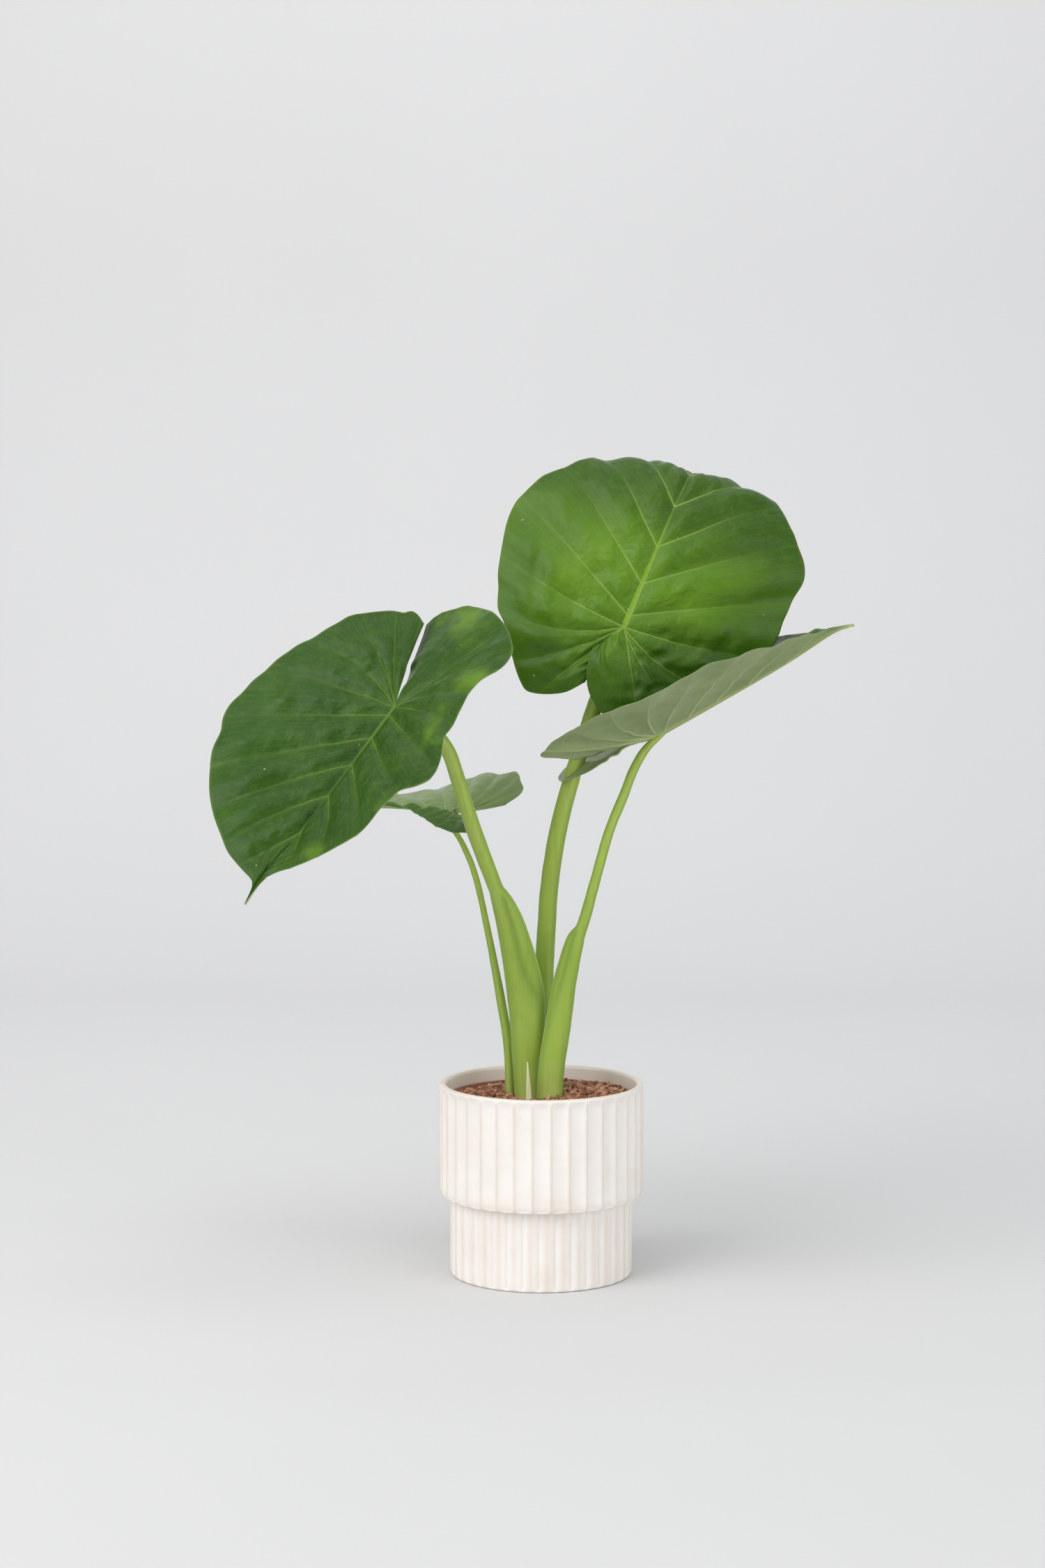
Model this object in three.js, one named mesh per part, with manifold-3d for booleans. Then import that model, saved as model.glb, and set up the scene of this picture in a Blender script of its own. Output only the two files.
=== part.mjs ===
// Potted alocasia: a fluted ceramic cover pot holding a plastic grow pot of
// coir soil, four long leaf stalks that clasp one another at the soil, and
// four heart-shaped blades.  Millimetres, +Z up, origin at the centre of the
// flat underside of the cover pot.
import * as THREE from "three";
import Module from "manifold-3d";

// ---- driving dimensions -------------------------------------------------
const POT_DIAMETER = 150;
const POT_HEIGHT = 142;
const STEP_HEIGHT = 59;          // top of the narrower foot band
const STEP_IN = 8;               // foot band is this much smaller in radius
const FLUTES = 35;
const FLUTE_DEPTH = 1.1;
const REED_DEPTH = 0.9;
const WALL = 5;
const FLOOR = 6;
const EDGE_ROUND = 3;
const CLEAR = 0.3;               // gap between pieces that touch

const GROW_RIM_BELOW = 10;       // grow-pot lip below the cover-pot rim
const GROW_WALL = 1.5;
const GROW_LIP = 3;
const GROW_FOOT_RADIUS_RATIO = 0.78;
const LIP_GAP = 0.8;

const SOIL_BELOW_LIP = 1.5;
const SOIL_HEAP = 5;             // loose bark banked up on the right
const HEAP_SPREAD = 26;
const HEAP_AT = [38, 6];
const ROOT_DEPTH = 12;           // stalks reach this far into the soil

const PLANT_SCALE = 1;
const BLADE_THICKNESS = 1.2;
const STALK_TURN = 7;            // last length of stalk, square to the blade
const STALK_TIP_GAP = 0.7;
const STALK_SIDES = 14;
const POINTS_PER_FLUTE = 4;
const SPOKES_PER_HALF = 20;
const BLADE_RINGS = 7;
const GROW_SIDES = 48;
const JUNCTION_WEB = 5;          // blade tissue joined all round the stalk

const RAD = Math.PI / 180;

// ---- materials ----------------------------------------------------------
function material(color, roughness, metalness = 0) {
  return new THREE.MeshStandardMaterial({ color, roughness, metalness });
}

const COLOURS = {
  glaze: 0xf1ebe3,
  grow_plastic: 0x9a5d45,
  soil: 0x6f4a35,
  blade: 0x4c7030,
  stalk: 0x97ab52,
  sheath: 0xd9d6a8,
};

// ---- mesh helpers -------------------------------------------------------
function meshFrom(name, points, faces, mat) {
  const geometry = new THREE.BufferGeometry();
  geometry.setAttribute("position", new THREE.Float32BufferAttribute(points.flat(), 3));
  geometry.setIndex(faces.flat());
  geometry.computeVertexNormals();
  const mesh = new THREE.Mesh(geometry, mat);
  mesh.name = name;
  return mesh;
}

// Linear look-up in [[x, value], ...] held flat outside the ends.
function keyed(keys, x) {
  if (x <= keys[0][0]) return keys[0][1];
  for (let i = 1; i < keys.length; i += 1) {
    const [x0, v0] = keys[i - 1];
    const [x1, v1] = keys[i];
    if (x <= x1) return v0 + ((v1 - v0) * (x - x0)) / (x1 - x0);
  }
  return keys[keys.length - 1][1];
}

// Closed surface swept round Z: profile runs from the axis to the axis and
// rimAt(i, angle) moves a profile point in or out.
function turned(name, profile, sides, rimAt, mat) {
  const points = [];
  const faces = [];
  const rows = profile.length;
  points.push([0, 0, profile[0][1]]);
  for (let i = 1; i < rows - 1; i += 1) {
    for (let j = 0; j < sides; j += 1) {
      const angle = (2 * Math.PI * j) / sides;
      const radius = profile[i][0] + rimAt(i, angle);
      points.push([radius * Math.cos(angle), radius * Math.sin(angle), profile[i][1]]);
    }
  }
  points.push([0, 0, profile[rows - 1][1]]);
  const last = points.length - 1;
  const at = (i, j) => 1 + (i - 1) * sides + (j % sides);
  for (let j = 0; j < sides; j += 1) {
    faces.push([0, at(1, j + 1), at(1, j)]);
    faces.push([last, at(rows - 2, j), at(rows - 2, j + 1)]);
    for (let i = 1; i < rows - 2; i += 1) {
      faces.push([at(i, j), at(i, j + 1), at(i + 1, j + 1)]);
      faces.push([at(i, j), at(i + 1, j + 1), at(i + 1, j)]);
    }
  }
  return meshFrom(name, points, faces, mat);
}

// ---- cover pot ----------------------------------------------------------
const potRadius = POT_DIAMETER / 2;
const footRadius = potRadius - STEP_IN;
const innerTop = potRadius - WALL;
const innerFoot = footRadius - WALL;
const bandStart = STEP_HEIGHT + EDGE_ROUND * 1.6;

function coverPot() {
  const profile = [
    [0, 0, 0],
    [footRadius - EDGE_ROUND, 0, 0],
    [footRadius - EDGE_ROUND * 0.3, EDGE_ROUND * 0.4, 0.4],
    [footRadius, EDGE_ROUND * 1.6, 1],
    [footRadius, STEP_HEIGHT - 1, 1],
    [footRadius, STEP_HEIGHT, 0],
    [potRadius - EDGE_ROUND, STEP_HEIGHT, 0],
    [potRadius - EDGE_ROUND * 0.3, STEP_HEIGHT + EDGE_ROUND * 0.5, 0],
    [potRadius, bandStart, 2],
    [potRadius, POT_HEIGHT - EDGE_ROUND, 2],
    [potRadius - WALL * 0.25, POT_HEIGHT - 0.5, 0],
    [potRadius - WALL * 0.5, POT_HEIGHT, 0],
    [potRadius - WALL * 0.8, POT_HEIGHT - 0.6, 0],
    [innerTop, POT_HEIGHT - EDGE_ROUND, 0],
    [innerTop, STEP_HEIGHT + WALL, 0],
    [innerFoot, STEP_HEIGHT - WALL, 0],
    [innerFoot, FLOOR, 0],
    [0, FLOOR, 0],
  ];
  const relief = (i, angle) => {
    const kind = profile[i][2];
    const wave = Math.cos(FLUTES * (angle + Math.PI / 2));
    if (kind === 2) return (-FLUTE_DEPTH * (1 + wave)) / 2;
    return (-REED_DEPTH * kind * (1 - wave)) / 2;
  };
  return turned("pot", profile, FLUTES * POINTS_PER_FLUTE, relief, material(COLOURS.glaze, 0.35));
}

// ---- grow pot -----------------------------------------------------------
const lipZ = POT_HEIGHT - GROW_RIM_BELOW;
const growLipRadius = innerTop - LIP_GAP;
const growTop = growLipRadius - GROW_LIP;
const growFoot = Math.min(growTop * GROW_FOOT_RADIUS_RATIO, innerFoot - CLEAR);
const growFloorZ = FLOOR + CLEAR;

function growPot() {
  const profile = [
    [0, growFloorZ],
    [growFoot, growFloorZ],
    [growTop, lipZ - GROW_LIP * 2],
    [growLipRadius, lipZ - GROW_LIP],
    [growLipRadius, lipZ - 0.5],
    [growLipRadius - 0.6, lipZ],
    [growTop - GROW_WALL + 0.6, lipZ],
    [growTop - GROW_WALL, lipZ - 0.8],
    [growTop - GROW_WALL, lipZ - GROW_LIP * 2],
    [growFoot - GROW_WALL, growFloorZ + GROW_WALL],
    [0, growFloorZ + GROW_WALL],
  ];
  return turned("grow_pot", profile, GROW_SIDES, () => 0, material(COLOURS.grow_plastic, 0.6));
}

// ---- soil ---------------------------------------------------------------
const soilZ = lipZ - SOIL_BELOW_LIP;
const soilRadius = growTop - GROW_WALL - CLEAR;

// Height of the soil surface: nearly level, banked up on one side.
function soilHeight(x, y) {
  const d2 = (x - HEAP_AT[0]) ** 2 + (y - HEAP_AT[1]) ** 2;
  const heap = SOIL_HEAP * Math.exp(-d2 / (2 * HEAP_SPREAD ** 2));
  const rough = 0.5 * Math.sin(x * 0.31) * Math.cos(y * 0.27);
  const rim = Math.min(1, (soilRadius - Math.hypot(x, y)) / 6);
  return soilZ + (heap + rough) * Math.max(0, rim);
}

function soilSolid(holes, wasm) {
  const rings = 7;
  const bottomZ = growFloorZ + GROW_WALL + CLEAR;
  const shoulderZ = lipZ - GROW_LIP * 2;
  const profile = [[0, bottomZ], [growFoot - GROW_WALL - 2 * CLEAR, bottomZ], [soilRadius, shoulderZ]];
  for (let k = rings; k >= 0; k -= 1) profile.push([(soilRadius * k) / rings, soilZ]);
  const mesh = turned("soil", profile, GROW_SIDES, () => 0, material(COLOURS.soil, 1));
  const pos = mesh.geometry.attributes.position;
  for (let i = 0; i < pos.count; i += 1) {
    if (pos.getZ(i) === soilZ) pos.setZ(i, soilHeight(pos.getX(i), pos.getY(i)));
  }
  let solid = toManifold(mesh, wasm);
  for (const hole of holes) solid = solid.subtract(toManifold(hole, wasm));
  return fromManifold("soil", solid, mesh.material);
}

// ---- manifold conversion ------------------------------------------------
function toManifold(mesh, wasm) {
  const vertProperties = new Float32Array(mesh.geometry.attributes.position.array);
  const triVerts = new Uint32Array(mesh.geometry.index.array);
  return new wasm.Manifold(new wasm.Mesh({ numProp: 3, vertProperties, triVerts }));
}

function fromManifold(name, solid, mat) {
  const out = solid.getMesh();
  const points = [];
  const faces = [];
  for (let i = 0; i < out.vertProperties.length; i += out.numProp) {
    points.push(Array.from(out.vertProperties.slice(i, i + 3)));
  }
  for (let i = 0; i < out.triVerts.length; i += 3) {
    faces.push(Array.from(out.triVerts.slice(i, i + 3)));
  }
  return meshFrom(name, points, faces, mat);
}

// ---- leaves -------------------------------------------------------------
// Each leaf: where the stalk meets the blade (height above the soil), the way
// the tip and the upper face point there, how the midrib bends (degrees at a
// distance along it), how each half folds up from the midrib and curls, the
// outline of each half (degrees from the tip, radius), and the stalk's path.
// `left` and `right` are seen from the upper face with the tip upward.
const LEAVES = {
  a: {
    junction: [60, 5, 346], tip: [0.38, 0.15, 0.91], face: [-0.05, -0.97, 0.2],
    bend: [[-120, 10], [0, 0], [80, -10], [115, -35], [140, -75], [170, -115], [215, -150]],
    fold: { left: [[0, 0]], right: [[-80, 4], [0, 0]] },
    curl: { left: [[0, -15]], right: [[0, -18]] },
    outline: {
      left: [[0, 215], [10, 200], [25, 162], [45, 137], [70, 119], [95, 101], [120, 88], [140, 84],
        [150, 80], [156, 72]],
      right: [[0, 215], [10, 205], [25, 182], [45, 150], [71, 116], [89, 97], [109, 75], [125, 66],
        [140, 65], [156, 68], [172, 66], [188, 52], [203, 34]],
    },
    stalk: [[3, 15, 0], [3, 15, 36], [2, 15, 87], [4, 16, 126], [6, 18, 155], [12, 20, 194],
      [22, 22, 233], [27, 24, 249], [39, 26, 286], [52, 24, 320], [60, 18, 341]],
    width: [[0, 8], [90, 7], [160, 6.6], [300, 5.6], [340, 4]],
    depth: [[0, 6.2], [90, 6.6], [160, 6.4], [300, 5.6], [340, 4]],
  },
  b: {
    junction: [-105, -60, 292], tip: [-0.52, -0.5, -0.69], face: [-0.36, -0.615, 0.69],
    bend: [[-120, 0], [0, 0], [100, 0], [205, -5]],
    fold: { left: [[0, 12]], right: [[0, 20]] },
    curl: { left: [[0, 0]], right: [[0, 0]] },
    outline: {
      left: [[0, 186], [5, 155], [12, 143], [20, 132], [32, 116], [45, 105], [58, 96], [70, 84],
        [85, 79], [100, 82], [115, 92], [135, 98], [158, 98], [171, 93], [177, 74]],
      right: [[0, 186], [5, 168], [12, 160], [22, 151], [34, 144], [46, 134], [60, 120], [75, 106],
        [92, 94], [110, 86], [130, 84], [148, 81], [162, 77], [170, 66]],
    },
    stalk: [[-9, 1, 0], [-9, -1, 42], [-10, -4, 74], [-13, -8, 93], [-17, -11.5, 112], [-22, -15, 132],
      [-29.5, -20, 154], [-44, -32, 200], [-54, -41, 238], [-66, -48, 263], [-84, -51, 279],
      [-98, -53, 285]],
    width: [[0, 10.5], [42, 12.2], [74, 13.2], [93, 13], [112, 12], [132, 10.8], [148, 8.4], [156, 5.8],
      [300, 5], [330, 3.8]],
    depth: [[0, 6], [60, 6], [110, 5.8], [150, 5.8], [300, 5], [330, 3.8]],
  },
  c: {
    junction: [84, 15, 267], tip: [0.86, -0.15, 0.48], face: [-0.4, 0.2, 0.9],
    bend: [[-120, 0], [0, 0], [100, 0], [175, -8]],
    fold: {
      left: [[-80, -6], [0, 2], [60, 14], [100, 20], [150, 14]],
      right: [[-80, 22], [0, 13], [60, 7], [150, 3]],
    },
    curl: { left: [[0, 0]], right: [[0, 0]] },
    outline: {
      left: [[0, 168], [6, 150], [15, 137], [30, 116], [50, 96], [70, 84], [95, 78], [120, 80],
        [140, 84], [155, 82], [166, 72]],
      right: [[0, 168], [6, 150], [15, 137], [30, 118], [50, 100], [70, 88], [95, 82], [120, 88],
        [140, 96], [155, 97], [166, 86]],
    },
    stalk: [[4.5, -13, 0], [5.5, -13, 25], [10.5, -13, 55], [15.5, -13, 85], [22, -12.5, 112],
      [26.5, -12, 126], [37, -8, 159], [47, 0, 198], [56, 6, 222], [64, 10, 243], [76, 12, 256],
      [86, 13.5, 261]],
    width: [[0, 10.4], [25, 10.4], [55, 9.6], [85, 10], [99, 9.6], [112, 8.4], [123, 6.4], [128, 4.8],
      [290, 3.8], [310, 3.2]],
    depth: [[0, 5], [50, 5], [90, 4.6], [125, 4.4], [290, 3.8], [310, 3.2]],
  },
  d: {
    junction: [-67, 80, 204], tip: [-0.88, 0.4, 0.1], face: [0.1, 0, 1],
    bend: [[-120, 0], [0, 0], [60, -8], [130, -35]],
    fold: { left: [[0, 10]], right: [[-50, 28], [0, 20], [50, 5]] },
    curl: { left: [[-30, -95], [20, -95], [70, -30]], right: [[0, 0]] },
    outline: {
      left: [[0, 130], [8, 108], [20, 84], [45, 68], [70, 64], [95, 62], [120, 58], [145, 54], [160, 44]],
      right: [[0, 130], [8, 112], [25, 92], [45, 82], [70, 72], [95, 64], [120, 58], [145, 55], [162, 46]],
    },
    stalk: [[-23, 13, 0], [-24, 17, 36], [-28, 24, 66], [-38, 40, 122], [-48, 56, 160], [-59, 69, 180],
      [-66, 77, 191]],
    width: [[0, 3.4], [200, 2.8]],
    depth: [[0, 3.4], [200, 2.8]],
  },
};

const vec = (a) => new THREE.Vector3(...a);

function bladeAxes(leaf) {
  const along = vec(leaf.tip).normalize();
  const normal = vec(leaf.face);
  normal.addScaledVector(along, -normal.dot(along)).normalize();
  const left = new THREE.Vector3().crossVectors(normal, along);
  return { along, normal, left };
}

function leafJunction(leaf) {
  const j = vec(leaf.junction).multiplyScalar(PLANT_SCALE);
  return j.add(new THREE.Vector3(0, 0, soilZ));
}

// Midrib in its own plane: distance along and height at x, with its slope.
function midrib(leaf, x) {
  const steps = 24;
  let along = 0;
  let height = 0;
  for (let i = 0; i < steps; i += 1) {
    const slope = keyed(leaf.bend, (x * (i + 0.5)) / steps) * RAD;
    along += (Math.cos(slope) * x) / steps;
    height += (Math.sin(slope) * x) / steps;
  }
  return { along, height, slope: keyed(leaf.bend, x) * RAD };
}

// Flat blade point (x toward the tip, y to the left) bent into space.
function bladePoint(leaf, axes, origin, side, x, y) {
  const half = side > 0 ? "left" : "right";
  const spread = y * side;
  const rib = midrib(leaf, x);
  const rise = keyed(leaf.fold[half], x) * RAD;
  const turn = (keyed(leaf.curl[half], x) * RAD) / 100;
  const mean = rise + (turn * spread) / 2;
  const sideways = side * spread * Math.cos(mean);
  const lift = spread * Math.sin(mean);
  const a = rib.along - lift * Math.sin(rib.slope);
  const n = rib.height + lift * Math.cos(rib.slope);
  return origin.clone()
    .addScaledVector(axes.along, a * PLANT_SCALE)
    .addScaledVector(axes.left, sideways * PLANT_SCALE)
    .addScaledVector(axes.normal, n * PLANT_SCALE);
}

// Thin closed blade: spokes fan out from the junction to the outline; a small
// web joins the two lobes close to the stalk.
function blade(name, leaf) {
  const axes = bladeAxes(leaf);
  const origin = leafJunction(leaf);
  const spokes = [];
  for (const [half, side] of [["right", -1], ["left", 1]]) {
    const keys = leaf.outline[half];
    const end = keys[keys.length - 1][0];
    for (let i = 0; i <= SPOKES_PER_HALF; i += 1) {
      const t = i / SPOKES_PER_HALF;
      const angle = end * (side < 0 ? 1 - t : t) ** 1.15;
      if (side > 0 && i === 0) continue;
      spokes.push({ angle, side, radius: keyed(keys, angle) });
    }
  }
  const middle = [origin.clone()];
  for (const s of spokes) {
    for (let k = 0; k <= BLADE_RINGS; k += 1) {
      const r = JUNCTION_WEB + ((s.radius - JUNCTION_WEB) * k) / BLADE_RINGS;
      const x = r * Math.cos(s.angle * RAD);
      const y = s.side * r * Math.sin(s.angle * RAD);
      middle.push(bladePoint(leaf, axes, origin, s.side, x, y));
    }
  }
  const rows = BLADE_RINGS + 1;
  const at = (i, k) => 1 + i * rows + k;
  const last = spokes.length - 1;
  const top = [];
  for (let i = 0; i < last; i += 1) {
    top.push([0, at(i, 0), at(i + 1, 0)]);
    for (let k = 0; k < BLADE_RINGS; k += 1) {
      top.push([at(i, k), at(i, k + 1), at(i + 1, k + 1)]);
      top.push([at(i, k), at(i + 1, k + 1), at(i + 1, k)]);
    }
  }
  top.push([0, at(last, 0), at(0, 0)]);

  const edge = [];
  for (let i = 0; i <= last; i += 1) edge.push(at(i, BLADE_RINGS));
  for (let k = BLADE_RINGS - 1; k >= 0; k -= 1) edge.push(at(last, k));
  for (let k = 0; k < BLADE_RINGS; k += 1) edge.push(at(0, k));
  return thickened(name, middle, top, edge, BLADE_THICKNESS, material(COLOURS.blade, 0.4));
}

// Give an open sheet thickness: two offset copies joined round its edge loop.
function thickened(name, middle, sheet, edge, thickness, mat) {
  const normals = middle.map(() => new THREE.Vector3());
  for (const [a, b, c] of sheet) {
    const ab = middle[b].clone().sub(middle[a]);
    const ac = middle[c].clone().sub(middle[a]);
    const n = ab.cross(ac);
    for (const i of [a, b, c]) normals[i].add(n);
  }
  const points = [];
  for (const sign of [1, -1]) {
    middle.forEach((p, i) => {
      const offset = normals[i].clone().normalize().multiplyScalar((sign * thickness) / 2);
      points.push(p.clone().add(offset).toArray());
    });
  }
  const count = middle.length;
  const faces = [];
  for (const [a, b, c] of sheet) {
    faces.push([a, b, c]);
    faces.push([a + count, c + count, b + count]);
  }
  for (let i = 0; i < edge.length; i += 1) {
    const a = edge[i];
    const b = edge[(i + 1) % edge.length];
    faces.push([a, a + count, b + count]);
    faces.push([a, b + count, b]);
  }
  return meshFrom(name, points, faces, mat);
}

// Oval tube through the given centres.  `width` is measured left-right and
// `depth` front-back, each keyed by height above the soil.
function ovalTube(name, centres, width, depth, mat) {
  const curve = new THREE.CatmullRomCurve3(centres, false, "centripetal");
  const rings = centres.length * 2;
  const points = [];
  const faces = [];
  const sideways = new THREE.Vector3(1, 0, 0);
  for (let i = 0; i <= rings; i += 1) {
    const at = curve.getPoint(i / rings);
    const tangent = curve.getTangent(i / rings);
    const across = sideways.clone().addScaledVector(tangent, -sideways.dot(tangent)).normalize();
    const back = new THREE.Vector3().crossVectors(tangent, across);
    for (let j = 0; j < STALK_SIDES; j += 1) {
      const angle = (2 * Math.PI * j) / STALK_SIDES;
      const p = at.clone()
        .addScaledVector(across, width(at.z) * Math.cos(angle))
        .addScaledVector(back, depth(at.z) * Math.sin(angle));
      points.push(p.toArray());
    }
  }
  const start = points.push(centres[0].toArray()) - 1;
  const end = points.push(centres[centres.length - 1].toArray()) - 1;
  const idx = (i, j) => i * STALK_SIDES + (j % STALK_SIDES);
  for (let j = 0; j < STALK_SIDES; j += 1) {
    faces.push([start, idx(0, j + 1), idx(0, j)]);
    faces.push([end, idx(rings, j), idx(rings, j + 1)]);
    for (let i = 0; i < rings; i += 1) {
      faces.push([idx(i, j), idx(i, j + 1), idx(i + 1, j + 1)]);
      faces.push([idx(i, j), idx(i + 1, j + 1), idx(i + 1, j)]);
    }
  }
  return meshFrom(name, points, faces, mat);
}

const aboveSoil = (p) => vec(p).multiplyScalar(PLANT_SCALE).add(new THREE.Vector3(0, 0, soilZ));
const keyedHeight = (keys, extra) => (z) => keyed(keys, (z - soilZ) / PLANT_SCALE) * PLANT_SCALE + extra;

// The part of a stalk inside the soil, `extra` larger all round.
function stalkRoot(name, leaf, extra, top) {
  const base = aboveSoil(leaf.stalk[0]);
  const centres = [
    base.clone().setZ(soilZ - ROOT_DEPTH - extra),
    base.clone().setZ(soilZ - ROOT_DEPTH / 2),
    base.clone().setZ(top),
  ];
  const mat = material(COLOURS.soil, 1);
  return ovalTube(name, centres, keyedHeight(leaf.width, extra), keyedHeight(leaf.depth, extra), mat);
}

function stalk(name, leaf) {
  const axes = bladeAxes(leaf);
  const base = aboveSoil(leaf.stalk[0]);
  const under = (distance) => leafJunction(leaf).addScaledVector(axes.normal, -distance);
  const centres = [
    base.clone().setZ(soilZ - ROOT_DEPTH),
    ...leaf.stalk.map(aboveSoil),
    under(STALK_TURN),
    under(BLADE_THICKNESS / 2 + STALK_TIP_GAP),
  ];
  const mat = material(COLOURS.stalk, 0.45);
  return ovalTube(name, centres, keyedHeight(leaf.width, 0), keyedHeight(leaf.depth, 0), mat);
}

// Young pale sheath leaf standing at the front of the clump.
const SPIKE = {
  stalk: [[-9, -22, 0]],
  width: [[0, 2.6], [12, 2.2], [30, 0.5]],
  depth: [[0, 1.8], [12, 1.6], [30, 0.4]],
  path: [[-9, -22, 0], [-9.6, -22.4, 14], [-10.2, -23, 30]],
};

function spike() {
  const centres = SPIKE.path.map(aboveSoil);
  centres.unshift(centres[0].clone().setZ(soilZ - ROOT_DEPTH));
  const mat = material(COLOURS.sheath, 0.6);
  return ovalTube("young_sheath", centres, keyedHeight(SPIKE.width, 0), keyedHeight(SPIKE.depth, 0), mat);
}

// ---- assembly -----------------------------------------------------------
const wasm = await Module();
wasm.setup();

const plant = new THREE.Group();
plant.name = "potted_alocasia";
plant.add(coverPot());
plant.add(growPot());

const holeTop = soilZ + SOIL_HEAP * 2;
const holes = Object.values(LEAVES).concat(SPIKE).map((leaf) => stalkRoot("hole", leaf, CLEAR, holeTop));
plant.add(soilSolid(holes, wasm));

for (const [key, leaf] of Object.entries(LEAVES)) {
  plant.add(stalk(`stalk_${key}`, leaf));
  plant.add(blade(`blade_${key}`, leaf));
}
plant.add(spike());

export default plant;
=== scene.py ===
"""Looks for the potted alocasia.  The object's numbers are millimetres in the
CAD's frame (origin at the centre of the pot's underside, +Z up); the stage, the
lights and the camera are in metres."""

import math

import bpy
import numpy as np
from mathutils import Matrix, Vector


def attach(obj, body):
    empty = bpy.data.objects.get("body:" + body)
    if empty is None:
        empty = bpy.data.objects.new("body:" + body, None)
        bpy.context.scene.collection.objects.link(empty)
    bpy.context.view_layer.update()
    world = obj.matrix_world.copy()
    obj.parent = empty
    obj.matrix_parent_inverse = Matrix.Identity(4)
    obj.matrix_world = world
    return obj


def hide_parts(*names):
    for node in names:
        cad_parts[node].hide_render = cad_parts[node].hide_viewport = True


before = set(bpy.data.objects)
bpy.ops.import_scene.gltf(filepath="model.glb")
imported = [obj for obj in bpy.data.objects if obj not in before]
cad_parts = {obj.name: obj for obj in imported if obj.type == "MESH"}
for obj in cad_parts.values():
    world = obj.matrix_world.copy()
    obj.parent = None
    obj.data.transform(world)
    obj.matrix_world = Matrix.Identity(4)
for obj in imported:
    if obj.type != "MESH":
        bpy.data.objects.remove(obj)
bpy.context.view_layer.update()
MM = 0.001

# ---- sizes
# As in the CAD's source, except that the relief of the pot is deeper.
POT_R, POT_H, STEP_H, STEP_IN = 75.0, 142.0, 59.0, 8.0
WALL, FLOOR_T, FLUTES = 5.0, 6.0, 35
FLUTE_DEPTH, REED_DEPTH, THROWN_WOBBLE = 2.2, 1.7, 0.18
REED_TURN = math.radians(-1.9)      # the reeds are turned a little past the flutes
FOOT_R = POT_R - STEP_IN
INNER_R = POT_R - WALL
CLEAR = 0.3                         # gap between pieces that touch
GROW_WALL, GROW_LIP, LIP_GAP, GROW_FOOT_RATIO = 1.5, 3.0, 0.8, 0.78
LIP_Z = POT_H - 10.0
LIP_R = INNER_R - LIP_GAP
GROW_R = LIP_R - GROW_LIP
SOIL_Z = LIP_Z - 1.5
SOIL_R = GROW_R - GROW_WALL - CLEAR
SOIL_HEAP, HEAP_SPREAD, HEAP_AT = 5.0, 26.0, (38.0, 6.0)
CLUMP_AT, CLUMP_R = (-2, 1), (21, 17)   # oval of soil that the stalks cover
ROOT_DEPTH = 12.0                   # stalks reach this far into the soil
STALK_TURN, STALK_TIP = 7.0, 1.3    # last stretch of a stalk, below the blade's junction


# ---- noise
def lattice(ix, iy, iz, seed):
    """Repeatable number from 0 to 1 for each lattice corner."""
    h = (ix * 374761393 + iy * 668265263 + iz * 2147483647 + seed * 974634777)
    h = (h ^ (h >> 13)) * 1274126177
    h = h ^ (h >> 16)
    return (h & 0xFFFFFF) / float(0xFFFFFF)


def noise3(p, size, seed=0):
    """Smooth value noise from -1 to 1 at points p (n, 3), feature size mm."""
    q = np.asarray(p, float) / size
    base = np.floor(q)
    f = q - base
    f = f * f * f * (f * (f * 6 - 15) + 10)
    b = base.astype(np.int64)
    total = 0.0
    for dx in (0, 1):
        wx = f[..., 0] if dx else 1 - f[..., 0]
        for dy in (0, 1):
            wy = f[..., 1] if dy else 1 - f[..., 1]
            for dz in (0, 1):
                wz = f[..., 2] if dz else 1 - f[..., 2]
                corner = lattice(b[..., 0] + dx, b[..., 1] + dy, b[..., 2] + dz, seed)
                total = total + corner * wx * wy * wz
    return total * 2 - 1


def smoothstep(a, b, x):
    t = np.clip((np.asarray(x, float) - a) / (b - a), 0, 1)
    return t * t * (3 - 2 * t)


def keyed(keys, x):
    return np.interp(x, [k[0] for k in keys], [k[1] for k in keys])


def keyed_soft(keys, x, spread):
    """Keyed look-up rounded off over `spread` each side of the keys."""
    if len(keys) == 1:
        return np.full(np.shape(x), float(keys[0][1]))
    grid = np.linspace(keys[0][0] - 3 * spread, keys[-1][0] + 3 * spread, 400)
    step = grid[1] - grid[0]
    reach = max(1, int(3 * spread / step))
    kernel = np.exp(-0.5 * (np.arange(-reach, reach + 1) * step / spread) ** 2)
    kernel /= kernel.sum()
    values = np.pad(keyed(keys, grid), reach, mode="edge")
    return np.interp(x, grid, np.convolve(values, kernel, mode="valid"))


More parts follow.
